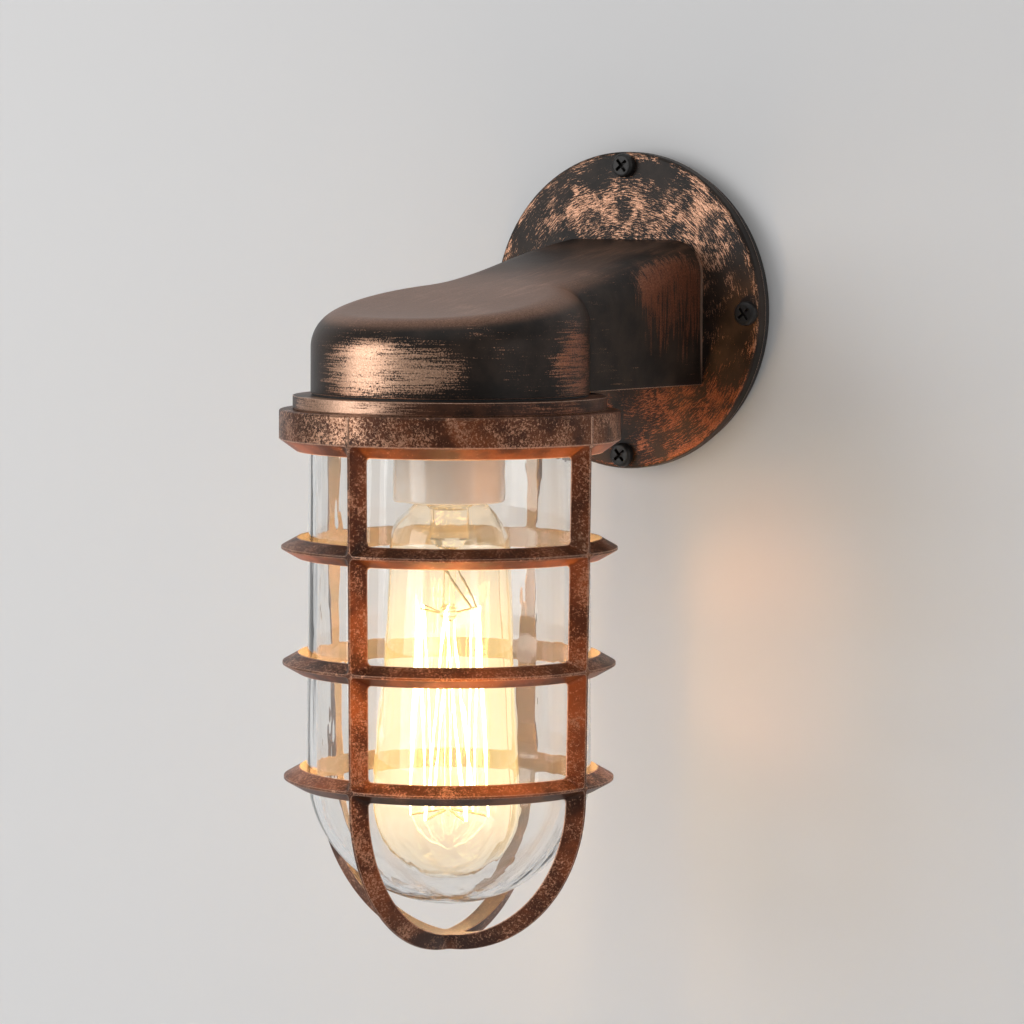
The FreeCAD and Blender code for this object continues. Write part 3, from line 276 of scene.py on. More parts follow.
# %% Hidden lamp
def hidden_lamp(kind, name, place, power, colour, size):
    """A small lamp that lights surfaces and is never seen itself."""
    data = bpy.data.lights.new(name, kind)
    data.energy = power
    data.color = colour
    data.shadow_soft_size = size
    lamp = bpy.data.objects.new(name, data)
    lamp.location = place
    lamp.visible_camera = False
    lamp.visible_glossy = False
    lamp.visible_transmission = False
    bpy.context.scene.collection.objects.link(lamp)
    return lamp


def lit_only(name, *pieces):
    """A collection of the pieces that a lamp may light."""
    group = bpy.data.collections.new(name)
    for piece in pieces:
        group.objects.link(nodes[piece])
    return group


BOUNCE_PLACE = LAMP_AXIS + Vector((0.060, -0.086, -0.150))
bounce = hidden_lamp("POINT", "warm_bounce", BOUNCE_PLACE, 0.38, (1.0, 0.42, 0.05), 0.02)
bounce.light_linking.receiver_collection = lit_only("guard_only", "guard_cage")
print("bounce lamp at", [round(value, 3) for value in BOUNCE_PLACE])

# %% [markdown]
# ### The room around
#
# An evenly lit room would flatten the castings, but clear glass shows nothing else than its
# surroundings. So the room is dim for every surface and bright only for what is seen through
# glass. The jar then stays clear at its edges.

# %% Room
SKY_STRENGTH = 0.30
SKY_THROUGH_GLASS = 0.88

world = bpy.data.worlds.new("room")
world.use_nodes = True
sky = world.node_tree.nodes["Background"]
sky.inputs["Color"].default_value = (0.99, 0.985, 0.975, 1)
seen_through_glass = put(world.node_tree, "LightPath").outputs["Is Transmission Ray"]
sky_strength = ramp(world.node_tree, seen_through_glass, 0, 1, SKY_STRENGTH, SKY_THROUGH_GLASS)
world.node_tree.links.new(sky_strength, sky.inputs["Strength"])
bpy.context.scene.world = world
print("room strength:", SKY_STRENGTH, "and through glass:", SKY_THROUGH_GLASS)

# %% [markdown]
# ## Dry-brushed copper, as groups
#
# The castings are painted black-brown and then gone over with a nearly dry brush of copper.
# The copper stays where the bristles touch: in streaks along the stroke, in grainy patches,
# and on every raised edge, where the pale copper is also a painted highlight along the edge.
# An image of such paint would stretch over these shapes and show its seams. Noise in the
# piece's own coordinates has no seams, and the same four groups then serve the hood, the
# plate and the guard, each with its own stroke and cover.

# %% Worn edges
def worn_edges_group():
    """How near a sharp edge is, and a normal that rounds it."""
    tree, entry, leave = shader_group("worn_edges", [("Radius", "Float", 0.0008)],
                                      [("Mask", "Float"), ("Normal", "Vector")])
    bevel = put(tree, "Bevel", {"Radius": entry["Radius"]}, samples=6).outputs[0]
    plain = put(tree, "NewGeometry").outputs["Normal"]
    bent = math_node(tree, "SUBTRACT", 1.0, dot(tree, bevel, plain))
    tree.links.new(ramp(tree, bent, 0.02, 0.16), leave["Mask"])
    tree.links.new(bevel, leave["Normal"])
    return tree


WORN_EDGES = worn_edges_group()
print("edge mask gives:", [item.name for item in WORN_EDGES.interface.items_tree if item.in_out == "OUTPUT"])

# %% Brush strokes
def brush_strokes_group():
    """Where copper sits: streaks along the stroke, grain from the bristles, and larger patches."""
    tree, entry, leave = shader_group(
        "brush_strokes",
        [("Vector", "Vector", None), ("Stroke", "Vector", (40, 40, 700)), ("Patch Scale", "Float", 26.0),
         ("Grain Scale", "Float", 900.0), ("Streak", "Float", 1.2), ("Patch", "Float", 1.4),
         ("Grain", "Float", 0.8), ("Cover", "Float", 0.4), ("Softness", "Float", 0.06)],
        [("Mask", "Float")])
    total = entry["Cover"]
    streak = noise(tree, scaled(tree, entry["Vector"], entry["Stroke"]), 1.0, 5.0, 0.62, 0.4)
    patch = noise(tree, entry["Vector"], entry["Patch Scale"], 3.0, 0.55, 0.6)
    grain = noise(tree, entry["Vector"], entry["Grain Scale"], 3.0, 0.7)
    for value, strength in ((streak, "Streak"), (patch, "Patch"), (grain, "Grain")):
        centred = math_node(tree, "SUBTRACT", value, 0.5)
        total = math_node(tree, "ADD", total, math_node(tree, "MULTIPLY", centred, entry[strength]))
    low = math_node(tree, "SUBTRACT", 0.5, entry["Softness"])
    high = math_node(tree, "ADD", 0.5, entry["Softness"])
    tree.links.new(ramp(tree, total, low, high), leave["Mask"])
    return tree


BRUSH_STROKES = brush_strokes_group()
print("brush nodes:", len(BRUSH_STROKES.nodes))

# %% Painted place
def painted_place_group():
    """A soft spot round a point, for harder brushing and for painted highlights."""
    tree, entry, leave = shader_group(
        "painted_place",
        [("Vector", "Vector", None), ("Centre", "Vector", None), ("Reach", "Vector", (0.02, 0.02, 0.02))],
        [("Mask", "Float")])
    offset = vector_node(tree, "SUBTRACT", entry["Vector"], entry["Centre"])
    share = vector_node(tree, "DIVIDE", offset, entry["Reach"])
    tree.links.new(ramp(tree, length_of(tree, share), 0.35, 1.1, 1.0, 0.0), leave["Mask"])
    return tree


PAINTED_PLACE = painted_place_group()
print("place nodes:", len(PAINTED_PLACE.nodes))

# %% Copper over black
BLACK_PAINT = (0.013, 0.009, 0.007, 1), (0.034, 0.022, 0.016, 1)
BROWN_PAINT = (0.042, 0.014, 0.006, 1), (0.155, 0.050, 0.019, 1)
PALE_COPPER = (0.43, 0.23, 0.14, 1), (0.76, 0.47, 0.32, 1)
RED_COPPER = (0.20, 0.062, 0.030, 1), (0.42, 0.155, 0.085, 1)
POLISH_AND_HIGHLIGHT_COPPER = (0.94, 0.72, 0.56, 1)
EDGE_WEAR_AND_HIGHLIGHT_COPPER = (0.78, 0.50, 0.37, 1)
BARE_IRON = (0.105, 0.105, 0.10, 1)


def copper_over_black_group():
    """Colour, roughness, metal and height from where the copper sits."""
    tree, entry, leave = shader_group(
        "copper_over_black",
        [("Vector", "Vector", None), ("Copper", "Float", 0.0), ("Edge", "Float", 0.0),
         ("Warmth", "Float", 0.5), ("Umber", "Float", 0.0), ("Polish And Highlight", "Float", 0.0), ("Bare", "Float", 0.0)],
        [("Color", "Color"), ("Roughness", "Float"), ("Metallic", "Float"), ("Height", "Float")])
    cloud = noise(tree, entry["Vector"], 45.0, 4.0, 0.6)
    fine = noise(tree, entry["Vector"], 1500.0, 3.0, 0.7)
    clouds = ramp(tree, cloud, 0.38, 0.64)
    grains = ramp(tree, fine, 0.35, 0.7)
    dark = blend_colour(tree, entry["Umber"], blend_colour(tree, clouds, *BLACK_PAINT),
                        blend_colour(tree, clouds, *BROWN_PAINT))
    worn = blend_colour(tree, entry["Warmth"], blend_colour(tree, grains, *PALE_COPPER),
                        blend_colour(tree, grains, *RED_COPPER))
    # Towards a near white copper where the brush polished, which also paints in highlights.
    copper = blend_colour(tree, entry["Polish And Highlight"], worn, POLISH_AND_HIGHLIGHT_COPPER)
    painted = blend_colour(tree, entry["Copper"], dark, copper)
    # The pale copper on edges is wear from the dry brush and also a painted highlight along ridges and edges.
    edge = math_node(tree, "MULTIPLY", entry["Edge"], ramp(tree, fine, 0.30, 0.52))
    lighter_edges = blend_colour(tree, edge, painted, EDGE_WEAR_AND_HIGHLIGHT_COPPER)
    tree.links.new(blend_colour(tree, entry["Bare"], lighter_edges, BARE_IRON), leave["Color"])
    either = math_node(tree, "MAXIMUM", entry["Copper"], edge)
    tree.links.new(add_up(tree, 0.33, (fine, 0.16), (either, -0.05)), leave["Roughness"])
    painted_part = math_node(tree, "SUBTRACT", 1.0, entry["Bare"])
    metal = math_node(tree, "MULTIPLY", either, 0.85)
    tree.links.new(math_node(tree, "MULTIPLY", metal, painted_part), leave["Metallic"])
    lumps = noise(tree, entry["Vector"], 260.0, 3.0, 0.6)
    height = add_up(tree, 0.0, (lumps, 0.6), (fine, 0.25), (entry["Copper"], 0.12))
    tree.links.new(height, leave["Height"])
    return tree


COPPER_OVER_BLACK = copper_over_black_group()
print("groups:", [group.name for group in bpy.data.node_groups])

# %% [markdown]
# ## The castings' materials
#
# Hood, plate, neck ring and guard share the paint and differ in the brushing. The hood was
# stroked level round its side and along its top. The plate was brushed in arcs round the arm.
# The guard was rubbed, so its copper lies in specks and along the ridges, and its faces towards
# the jar were left bare. The thicker, paler copper at the front left of hood, neck ring and guard
# is brushing and also a painted highlight. More copper on the hood's right side is also a painted
# reflection, and on the front of its top a painted sheen. One function makes them all, and takes
# a function that says where the copper sits on that piece, how red it is, how much polish and
# painted highlight it has, and what stayed bare.

# %% Casting material
def casting(name, brushed, umber=0.0, edge_radius=0.0007):
    """brushed(tree, metres) gives four masks: where the copper is, how red, how much polish and painted
    highlight, how bare.
    """
    material, tree, output, metres = fresh_material(name)
    edges = place_group(tree, WORN_EDGES, {"Radius": edge_radius})
    mask, warmth, polish_and_highlight, bare = brushed(tree, metres)
    paint = place_group(tree, COPPER_OVER_BLACK,
                        {"Vector": metres, "Copper": mask, "Edge": edges["Mask"], "Warmth": warmth,
                         "Umber": umber, "Polish And Highlight": polish_and_highlight, "Bare": bare})
    bump = put(tree, "Bump", {"Height": paint["Height"], "Strength": 0.35, "Distance": 0.0004,
                              "Normal": edges["Normal"]}).outputs[0]
    surface = put(tree, "BsdfPrincipled", {"Base Color": paint["Color"], "Roughness": paint["Roughness"],
                                           "Metallic": paint["Metallic"], "Specular IOR Level": 0.2,
                                           "Normal": bump})
    tree.links.new(surface.outputs[0], output.inputs["Surface"])
    print(name, "has", len(tree.nodes), "nodes")
    return material


def spot(tree, metres, centre, reach):
    return place_group(tree, PAINTED_PLACE, {"Vector": metres, "Centre": centre, "Reach": reach})["Mask"]


def strokes(tree, vector, stroke, cover, streak, patch, grain, softness, grain_scale=900.0, patch_scale=26.0):
    """Where copper sits: stroke stretches the streaks, and streak, patch and grain are strengths."""
    values = {"Vector": vector, "Stroke": stroke, "Cover": cover, "Streak": streak, "Patch": patch,
              "Grain": grain, "Softness": softness, "Grain Scale": grain_scale, "Patch Scale": patch_scale}
    return place_group(tree, BRUSH_STROKES, values)["Mask"]


# %% Hood and arm
def hood_brushed(tree, metres):
    """Level strokes round the side, faint ones along the top, upright ones by the wall, and painted
    highlights and sheen.
    """
    facing = parts_of(tree, put(tree, "NewGeometry").outputs["Normal"])
    topside = ramp(tree, facing["Z"], 0.62, 0.93)
    # Thicker, paler, partly polished copper at the front left: brushing, and also the painted highlight of
    # the front left lamp.
    front_left_brush_and_highlight = spot(tree, metres, (0.008, -0.198, -0.019), (0.045, 0.032, 0.017))
    # More, redder copper on the right side: brushing, and also a painted reflection of the lit wall.
    side_right_brush_and_reflection = spot(tree, metres, (0.054, -0.130, -0.016), (0.026, 0.026, 0.024))
    by_wall = spot(tree, metres, (0.042, -0.036, 0.004), (0.016, 0.044, 0.038))
    # A thin polished line where the arm meets the plate is a painted highlight.
    corner_highlight_line = spot(tree, metres, (0.040, -0.0115, 0.002), (0.006, 0.0022, 0.034))
    side_cover = add_up(tree, 0.15, (front_left_brush_and_highlight, 0.47), (side_right_brush_and_reflection, 0.36))
    level = strokes(tree, metres, (60, 60, 1500), side_cover, 1.3, 0.8, 1.2, 0.09, grain_scale=1700.0)
    along = strokes(tree, metres, (700, 30, 260), 0.26, 0.9, 1.1, 0.4, 0.22)
    wall_cover = add_up(tree, -0.1, (by_wall, 0.68), (corner_highlight_line, 0.8))
    upright = strokes(tree, metres, (300, 800, 50), wall_cover, 1.3, 1.1, 0.7, 0.14, grain_scale=1400.0)
    # On faces that look up, the faint strokes get copper that grows towards the front: a painted sheen that
    # lightens the top.
    sheen_towards_front = ramp(tree, parts_of(tree, metres)["Y"], -0.050, -0.120)
    faint = add_up(tree, 0.0, (along, 0.34), (sheen_towards_front, 0.44))
    picked = put(tree, "Mix", {0: topside, 2: level, 3: faint}, data_type="FLOAT").outputs[0]
    for mask, strength in ((upright, 0.7), (corner_highlight_line, 0.9)):
        picked = math_node(tree, "MAXIMUM", picked, math_node(tree, "MULTIPLY", mask, strength))
    warmth = add_up(tree, 0.45, (side_right_brush_and_reflection, 0.45), (by_wall, 0.6), (front_left_brush_and_highlight, -0.45))
    polish_and_highlight = add_up(tree, 0.0, (front_left_brush_and_highlight, 0.12), (corner_highlight_line, 0.6))
    return picked, warmth, polish_and_highlight, 0.0


dress(casting("hood_copper_brushed", hood_brushed), "arm_hood")

# %% Wall plate
def plate_brushed(tree, metres):
    """Strokes that sweep round the arm, thickest above it, and a redder lower right."""
    parts = parts_of(tree, metres)
    height = math_node(tree, "ADD", parts["Z"], 0.004)
    swing = math_node(tree, "ARCTAN2", parts["X"], height)
    distance = length_of(tree, put(tree, "CombineXYZ", {0: parts["X"], 1: height}).outputs[0])
    radius = add_up(tree, distance, (noise(tree, metres, 40.0), 0.005))
    arc = math_node(tree, "MULTIPLY", swing, 0.05)
    swept = put(tree, "CombineXYZ", {0: arc, 1: radius}).outputs[0]
    above = spot(tree, metres, (-0.004, -0.0114, 0.042), (0.058, 0.03, 0.018))
    corner = spot(tree, metres, (0.042, -0.0114, 0.030), (0.016, 0.03, 0.030))
    low_right = spot(tree, metres, (0.036, -0.0114, -0.046), (0.042, 0.03, 0.026))
    rim = ramp(tree, length_of(tree, scaled(tree, metres, (1, 0, 1))), 0.0640, 0.0668)
    plate_side = ramp(tree, parts["Y"], -0.0112, -0.0102)
    cover = add_up(tree, 0.23, (above, 0.22), (corner, 0.18), (low_right, 0.24), (rim, 0.14),
                   (plate_side, -0.6))
    mask = strokes(tree, swept, (300, 1900, 1), cover, 1.5, 0.9, 0.9, 0.08, grain_scale=2300.0,
                   patch_scale=110.0)
    low = ramp(tree, parts["Z"], 0.0, -0.03)
    return mask, add_up(tree, 0.3, (low, 0.7)), 0.0, 0.0


dress(casting("plate_copper_brushed", plate_brushed), "canopy_plate")

# %% Neck ring
def neck_brushed(tree, metres):
    """Level strokes, thicker and paler at the front left, as on the hood above it: brushing, and also a
    painted highlight.
    """
    front_left_brush_and_highlight = spot(tree, metres, (-0.010, -0.198, -0.034), (0.045, 0.04, 0.02))
    cover = add_up(tree, 0.27, (front_left_brush_and_highlight, 0.38))
    mask = strokes(tree, metres, (70, 70, 1500), cover, 1.1, 1.0, 1.0, 0.14, grain_scale=2000.0)
    return mask, add_up(tree, 0.8, (front_left_brush_and_highlight, -0.6)), math_node(tree, "MULTIPLY", front_left_brush_and_highlight, 0.2), 0.0


dress(casting("neck_copper_brushed", neck_brushed, umber=0.5), "neck_ring")

# %% Guard
ROUND_BOTTOM_CENTRE = Vector((LAMP_AXIS.x, LAMP_AXIS.y, -0.192))


def guard_rubbed(tree, metres):
    """Rubbed specks, fewer on faces that look down; the faces towards the jar are bare."""
    # Slightly more, paler copper at the collar's front left: rubbing, and also a painted highlight.
    front_left_brush_and_highlight = spot(tree, metres, (-0.010, -0.208, -0.043), (0.045, 0.03, 0.012))
    sides = parts_of(tree, vector_node(tree, "SUBTRACT", metres, ROUND_BOTTOM_CENTRE))
    below = math_node(tree, "MINIMUM", sides["Z"], 0.0)
    from_axis = put(tree, "CombineXYZ", {0: sides["X"], 1: sides["Y"], 2: below}).outputs[0]
    outward = vector_node(tree, "NORMALIZE", from_axis)
    collar = ramp(tree, sides["Z"], 0.136, 0.140)
    facing = put(tree, "TexCoord").outputs["Normal"]
    bare = ramp(tree, dot(tree, facing, outward), -0.55, -0.85)
    downward = ramp(tree, parts_of(tree, facing)["Z"], -0.35, -0.7)
    cover = add_up(tree, 0.38, (front_left_brush_and_highlight, 0.06), (collar, 0.02), (downward, -0.22))
    mask = strokes(tree, metres, (900, 900, 900), cover, 1.3, 0.7, 1.1, 0.05, grain_scale=2400.0,
                   patch_scale=90.0)
    return mask, add_up(tree, 0.42, (front_left_brush_and_highlight, -0.3)), 0.0, math_node(tree, "MULTIPLY", bare, 0.8)


dress(casting("guard_copper_rubbed", guard_rubbed, umber=1.0, edge_radius=0.0009), "guard_cage")

# %% [markdown]
# ## Screws, brass, rubber and porcelain
#
# The small parts are plain materials, but none of them is one flat colour on a real light.
# Blackened screws are greyer on their rims, brass is tarnished in clouds, zinc has a faint
# grain, and glazed porcelain carries dust. One function makes them from two colours, a
# cloud of noise between them and the same worn-edge group as the castings.

# %% Plain materials
def plain_material(name, colour, other, metallic, roughness, cloud=90.0, relief=0.1, edge=None, coat=0.0):
    """Two colours in clouds, with an optional lighter colour on worn edges."""
    material, tree, output, metres = fresh_material(name)
    spread = ramp(tree, noise(tree, metres, cloud, 5.0, 0.6), 0.35, 0.68)
    paint = blend_colour(tree, spread, colour, other)
    edges = place_group(tree, WORN_EDGES, {"Radius": 0.0004})
    if edge:
        chips = ramp(tree, noise(tree, metres, 1200.0), 0.35, 0.6)
        lighter_edges = math_node(tree, "MULTIPLY", edges["Mask"], chips)
        paint = blend_colour(tree, lighter_edges, paint, edge)
    fine = noise(tree, metres, cloud * 12, 3.0, 0.6)
    rough = add_up(tree, roughness, (fine, 0.12))
    bump = put(tree, "Bump", {"Height": fine, "Strength": relief, "Distance": 0.0002,
                              "Normal": edges["Normal"]}).outputs[0]
    surface = put(tree, "BsdfPrincipled", {"Base Color": paint, "Roughness": rough, "Metallic": metallic,
                                           "Coat Weight": coat, "Normal": bump})
    tree.links.new(surface.outputs[0], output.inputs["Surface"])
    return material


# %% Metals
dress(plain_material("blackened_screw", (0.016, 0.015, 0.015, 1), (0.03, 0.027, 0.025, 1), 0.4, 0.38,
                     edge=(0.09, 0.075, 0.065, 1), relief=0.25), "cover_screws")
dress(plain_material("zinc_plated", (0.50, 0.51, 0.52, 1), (0.64, 0.64, 0.63, 1), 1.0, 0.32, cloud=240.0),
      "arm_screws", "neck_screws", "holder_bracket", "bracket_screws", "holder_screws", "terminal_screws",
      "block_screws", "earth_lug")
dress(plain_material("tarnished_brass", (0.52, 0.34, 0.12, 1), (0.72, 0.52, 0.24, 1), 1.0, 0.24, cloud=160.0),
      "holder_shell", "holder_contact", "holder_terminals", "block_inserts", "bulb_cap", "earth_screw")
dress(plain_material("dull_solder", (0.42, 0.41, 0.40, 1), (0.58, 0.57, 0.55, 1), 1.0, 0.42, cloud=500.0),
      "bulb_contact")
dress(plain_material("drawn_wire", (0.36, 0.27, 0.15, 1), (0.50, 0.38, 0.21, 1), 1.0, 0.35, cloud=700.0),
      "lead_wires", "upper_supports", "lower_supports")
print("materials so far:", len(bpy.data.materials))

# %% Rubber, paint, porcelain and sleeves
dress(plain_material("black_rubber", (0.018, 0.018, 0.018, 1), (0.032, 0.031, 0.030, 1), 0.0, 0.62,
                     relief=0.3), "cable_grommet", "base_gasket", "neck_gasket", "jar_gasket")
dress(plain_material("black_base_paint", (0.020, 0.018, 0.017, 1), (0.036, 0.030, 0.027, 1), 0.0, 0.42,
                     edge=(0.16, 0.10, 0.07, 1), relief=0.35), "wall_base")
dress(plain_material("glazed_porcelain", (0.86, 0.78, 0.66, 1), (0.92, 0.86, 0.76, 1), 0.0, 0.16,
                     cloud=60.0, relief=0.05, edge=(0.93, 0.91, 0.87, 1), coat=0.4),
      "lampholder", "terminal_block")
dress(plain_material("black_glass_bead", (0.008, 0.007, 0.009, 1), (0.02, 0.018, 0.022, 1), 0.0, 0.1),
      "bulb_insulator")
for sleeve, dark, light in (("live_wire", (0.16, 0.07, 0.03, 1), (0.22, 0.10, 0.045, 1)),
                            ("neutral_wire", (0.03, 0.12, 0.38, 1), (0.05, 0.17, 0.48, 1)),
                            ("earth_wire", (0.20, 0.42, 0.06, 1), (0.62, 0.60, 0.05, 1))):
    dress(plain_material(sleeve + "_sleeve", dark, light, 0.0, 0.5), sleeve)
print("materials so far:", len(bpy.data.materials))

# %% [markdown]
# ## Glass
#
# Clear glass bends what is behind it, and its edges look dark or bright. In a path tracer its
# shadows come out nearly black and full of noise, because light that goes through it is hard
# to find. So shadow rays and diffuse rays go straight through, and only what the eye sees is
# bent. The jar is pressed glass with waves in it, which is why the bars behind it look ragged.

# %% Glass material
def clear_glass(name, colour, roughness, wave_scale, wave_height, glow=None):
    """Glass with low upright waves in its surface; glow(tree, metres, surface) may add a shine of its own."""
    material, tree, output, metres = fresh_material(name)
    waves = noise(tree, scaled(tree, metres, (1.0, 1.0, 0.25)), wave_scale, 3.0, 0.5)
    bump = put(tree, "Bump", {"Height": waves, "Strength": 1.0, "Distance": wave_height}).outputs[0]
    paler = tuple(min(1.0, value * 1.02) for value in colour[:3]) + (1,)
    tint = blend_colour(tree, ramp(tree, noise(tree, metres, 30.0), 0.3, 0.7), colour, paler)
    surface = put(tree, "BsdfPrincipled", {"Base Color": tint, "Roughness": roughness, "IOR": 1.47,
                                           "Transmission Weight": 1.0, "Normal": bump})
    if glow:
        glow(tree, metres, surface)
    rays = put(tree, "LightPath").outputs
    through = math_node(tree, "MAXIMUM", rays["Is Shadow Ray"], rays["Is Diffuse Ray"])
    open_air = put(tree, "BsdfTransparent").outputs[0]
    mixed = put(tree, "MixShader", {0: through, 1: surface.outputs[0], 2: open_air}).outputs[0]
    tree.links.new(mixed, output.inputs["Surface"])
    return material


BULB_GLOW = 0.16


def bulb_glow(tree, metres, surface):
    """The lamp's glass scatters some of the filament's light: most at half height, none at the neck."""
    height = parts_of(tree, metres)["Z"]
    upper = ramp(tree, height, -0.080, -0.140)
    lower = ramp(tree, height, -0.234, -0.190)
    strength = math_node(tree, "MULTIPLY", upper, lower)
    warm = blend_colour(tree, strength, (0.22, 0.15, 0.07, 1), (1.0, 0.70, 0.24, 1))
    tree.links.new(warm, surface.inputs["Emission Color"])
    surface.inputs["Emission Strength"].default_value = BULB_GLOW


jar_material = clear_glass("pressed_glass", (0.975, 0.978, 0.97, 1), 0.0, 60.0, 0.00025)
dress(clear_glass("blown_glass", (0.985, 0.955, 0.90, 1), 0.02, 30.0, 0.0002, bulb_glow), "bulb_glass")
dress(clear_glass("stem_glass", (0.95, 0.92, 0.85, 1), 0.04, 300.0, 0.0002, bulb_glow), "bulb_stem")
print("glasses:", [item.name for item in bpy.data.materials if item.name.endswith("glass")])

# %% [markdown]
# ### The jar's shape
#
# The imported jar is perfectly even. Pressed glass isn't: its wall is thicker here and thinner
# there, in long upright waves. That could be a bump in the material, but then the waves
# wouldn't move the outline or the thickness. So the jar is turned again as a mesh, with the
# waves in its inner and outer radius.

# %% Jar outline
JAR_WALL = 0.0032
FLANGE_HEIGHT = 0.0034
FLANGE_ROUND = 0.0008
NECK_ROUND = 0.0005
NECK_INSET = 0.0031
SIDE_INSET = 0.0021
DOME_HEIGHT = 0.0562
SIDE_STEPS = 40
DOME_STEPS = 28
WAVES_SET_IN = 8


def jar_outline():
    """Rows of (radius, height, waviness), down the outside and up the inside, where waviness is negative."""
    low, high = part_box("glass_jar")
    flange = (high.x - low.x) / 2
    top, bottom = high.z, low.z
    neck, side = flange - NECK_INSET, flange - SIDE_INSET
    dome = bottom + DOME_HEIGHT
    under = top - FLANGE_HEIGHT
    rows = [(flange - FLANGE_ROUND, top, 0), (flange, top - FLANGE_ROUND, 0),
            (flange, under + FLANGE_ROUND, 0), (flange - FLANGE_ROUND, under, 0),
            (neck + NECK_ROUND, under, 0), (neck, under - NECK_ROUND, 0.2)]
    for step in range(1, SIDE_STEPS + 1):
        share = step / SIDE_STEPS
        radius = neck + (side - neck) * share
        rows.append((radius, under + (dome - under) * share, min(1, share * WAVES_SET_IN)))
    for step in range(1, DOME_STEPS + 1):
        angle = math.pi / 2 * step / DOME_STEPS
        rows.append((side * math.cos(angle), dome - DOME_HEIGHT * math.sin(angle), math.cos(angle)))
    for step in range(DOME_STEPS, 0, -1):
        angle = math.pi / 2 * step / DOME_STEPS
        rows.append(((side - JAR_WALL) * math.cos(angle), dome - (DOME_HEIGHT - JAR_WALL) * math.sin(angle),
                     -math.cos(angle)))
    for step in range(SIDE_STEPS, -1, -1):
        share = step / SIDE_STEPS
        radius = neck + (side - neck) * share - JAR_WALL
        rows.append((radius, top + (dome - top) * share, -min(1, share * WAVES_SET_IN)))
    return rows


jar_rows = jar_outline()
print("rows in the jar's outline:", len(jar_rows))

# %% Jar mesh
JAR_SEGMENTS = 240
INNER_WAVE = 0.00014
OUTER_WAVE = 0.00006
AT_AXIS = 1e-5


def wave(angle, height, inside):
    """How far the wall swells, in metres: a few upright waves that drift slowly with height."""
    phase = 1.7 if inside else 0.0
    drift = height * (21 if inside else 13)
    swell = (0.5 * math.sin(5 * angle + phase + drift) + 0.35 * math.sin(11 * angle + 2.1 + phase - drift)
             + 0.22 * math.sin(23 * angle + 0.6 + 2 * drift) + 0.12 * math.sin(41 * angle + phase))
    return swell * (INNER_WAVE if inside else OUTER_WAVE)


def turned_mesh(name, rows, segments):
    """A closed mesh from rows of (radius, height, waviness); rows at the axis close with a fan."""
    points, faces, starts = [], [], []
    for radius, height, wavy in rows:
        starts.append(len(points))
        if radius < AT_AXIS:
            points.append((LAMP_AXIS.x, LAMP_AXIS.y, height))
            continue
        for index in range(segments):
            angle = 2 * math.pi * index / segments
            reach = radius + wave(angle, height, wavy < 0) * abs(wavy)
            x, y = LAMP_AXIS.x + reach * math.cos(angle), LAMP_AXIS.y + reach * math.sin(angle)
            points.append((x, y, height))
    for row in range(len(rows)):
        following = (row + 1) % len(rows)
        here, there = rows[row][0] < AT_AXIS, rows[following][0] < AT_AXIS
        if here and there:
            continue
        for index in range(segments):
            other = (index + 1) % segments
            a, b = starts[row] + index, starts[row] + other
            c, d = starts[following] + other, starts[following] + index
            if here:
                faces.append((starts[row], d, c))
            elif there:
                faces.append((b, a, starts[following]))
            else:
                faces.append((d, c, b, a))
    mesh = bpy.data.meshes.new(name)
    mesh.from_pydata(points, [], faces)
    mesh.validate()
    mesh.shade_smooth()
    piece = bpy.data.objects.new(name, mesh)
    bpy.context.scene.collection.objects.link(piece)
    return piece


jar = turned_mesh("pressed_jar", jar_rows, JAR_SEGMENTS)
jar.data.materials.append(jar_material)
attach(jar, "jar")
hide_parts("glass_jar")
print("jar vertices:", len(jar.data.vertices))

# %% [markdown]
# ## The lit filament
#
# The filament is the brightest thing here by far. Its strands are given a strong warm
# emission, but a thin bright wire makes a poor lamp: few rays find it. So the light that
# falls on the guard and the wall comes from small hidden lamps along the filament, and the
# strands only have to look hot.

# %% Filament
FILAMENT_STRENGTH = 34.0


def hot_wire():
    """Glowing wire. Diffuse rays pass it, because the hidden lamps light the room in its place."""
    material, tree, output, metres = fresh_material("hot_filament")
    ripple = ramp(tree, noise(tree, metres, 260.0), 0.35, 0.65)
    colour = blend_colour(tree, ripple, (1.0, 0.62, 0.24, 1), (1.0, 0.74, 0.36, 1))
    surface = put(tree, "BsdfPrincipled", {"Base Color": (0.05, 0.04, 0.03, 1), "Roughness": 0.6,
                                           "Emission Color": colour, "Emission Strength": FILAMENT_STRENGTH})
    rays = put(tree, "LightPath").outputs
    unlit = put(tree, "BsdfTransparent").outputs[0]
    mixed = put(tree, "MixShader", {0: rays["Is Diffuse Ray"], 1: surface.outputs[0], 2: unlit}).outputs[0]
    tree.links.new(mixed, output.inputs["Surface"])
    return material


dress(hot_wire(), "filament")
print("filament strength:", FILAMENT_STRENGTH)

# %% [markdown]
# ### The light that it gives
#
# Two rows of small lamps stand along the filament. The weak row lights everything. The strong
# row lights only the castings near it, because so strong a light would burn out the wall. One
# more lamp warms the lampholder's right side.

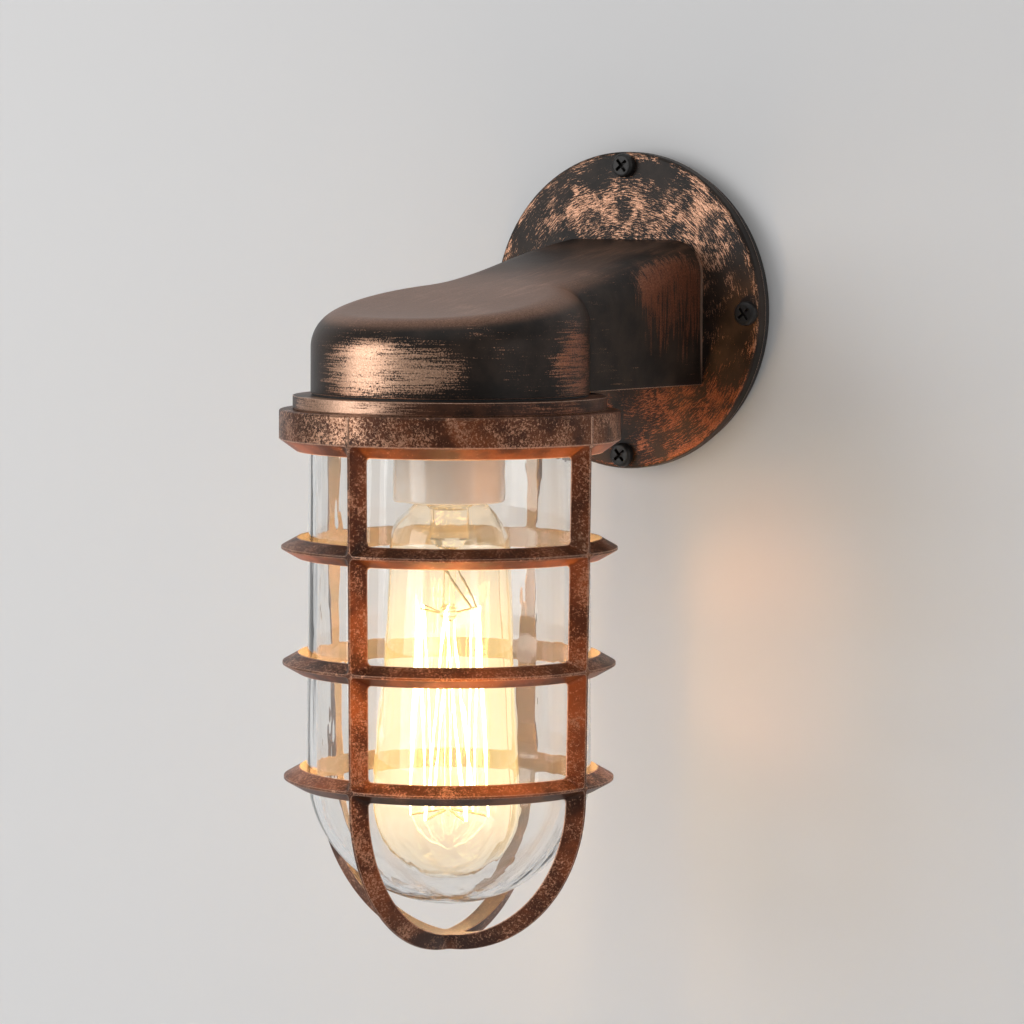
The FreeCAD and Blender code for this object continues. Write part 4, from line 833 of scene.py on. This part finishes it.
# %% Lamps along the filament
GLOW_LAMPS = 4
SPILL_POWER, SPILL_COLOUR = 0.024, (1.0, 0.50, 0.16)
INNER_POWER, INNER_COLOUR = 0.9, (1.0, 0.60, 0.24)
HOLDER_GLOW_PLACE = LAMP_AXIS + Vector((0.049, -0.009, -0.068))

castings_near = lit_only("castings_near", "guard_cage", "neck_ring", "canopy_plate")
low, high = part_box("filament")
half_width = (high.x - low.x) / 2
for index in range(GLOW_LAMPS):
    place = (LAMP_AXIS.x, LAMP_AXIS.y, low.z + (high.z - low.z) * (index + 0.5) / GLOW_LAMPS)
    spill = hidden_lamp("POINT", "spill_%d" % index, place, SPILL_POWER, SPILL_COLOUR, half_width)
    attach(spill, "bulb")
    inner = hidden_lamp("POINT", "inner_glow_%d" % index, place, INNER_POWER, INNER_COLOUR, half_width)
    inner.light_linking.receiver_collection = castings_near
    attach(inner, "bulb")
holder_glow = hidden_lamp("POINT", "holder_glow", HOLDER_GLOW_PLACE, 0.010, (1.0, 0.40, 0.10), 0.008)
holder_glow.light_linking.receiver_collection = lit_only("holder_only", "lampholder")
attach(holder_glow, "housing")
print("lamps along the filament:", 2 * GLOW_LAMPS)

# %% [markdown]
# ### The warm patch on the wall
#
# The pressed jar gathers some of the light into one tall soft patch on the wall, below the
# plate on the right. Light bent by glass is what a path tracer finds least, so a spot lamp
# draws the patch. Its cone is made narrow and tall by scaling it.

# %% Wall patch
PATCH_PLACE = Vector((0.064, 0.0, -0.136))
PATCH_ANGLE = math.radians(54)
PATCH_SHAPE = (0.7, 1.1, 1.0, 1.0)

patch_lamp_place = (LAMP_AXIS.x, LAMP_AXIS.y, PATCH_PLACE.z)
patch = hidden_lamp("SPOT", "wall_patch", patch_lamp_place, 0.30, (1.0, 0.38, 0.10), 0.02)
patch.data.spot_size = PATCH_ANGLE
patch.data.spot_blend = 1.0
aim = (patch.location - PATCH_PLACE).to_track_quat("Z", "Y").to_matrix().to_4x4()
patch.matrix_world = Matrix.Translation(patch.location) @ aim @ Matrix.Diagonal(PATCH_SHAPE)
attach(patch, "bulb")
print("lamps in all:", len(bpy.data.lights))
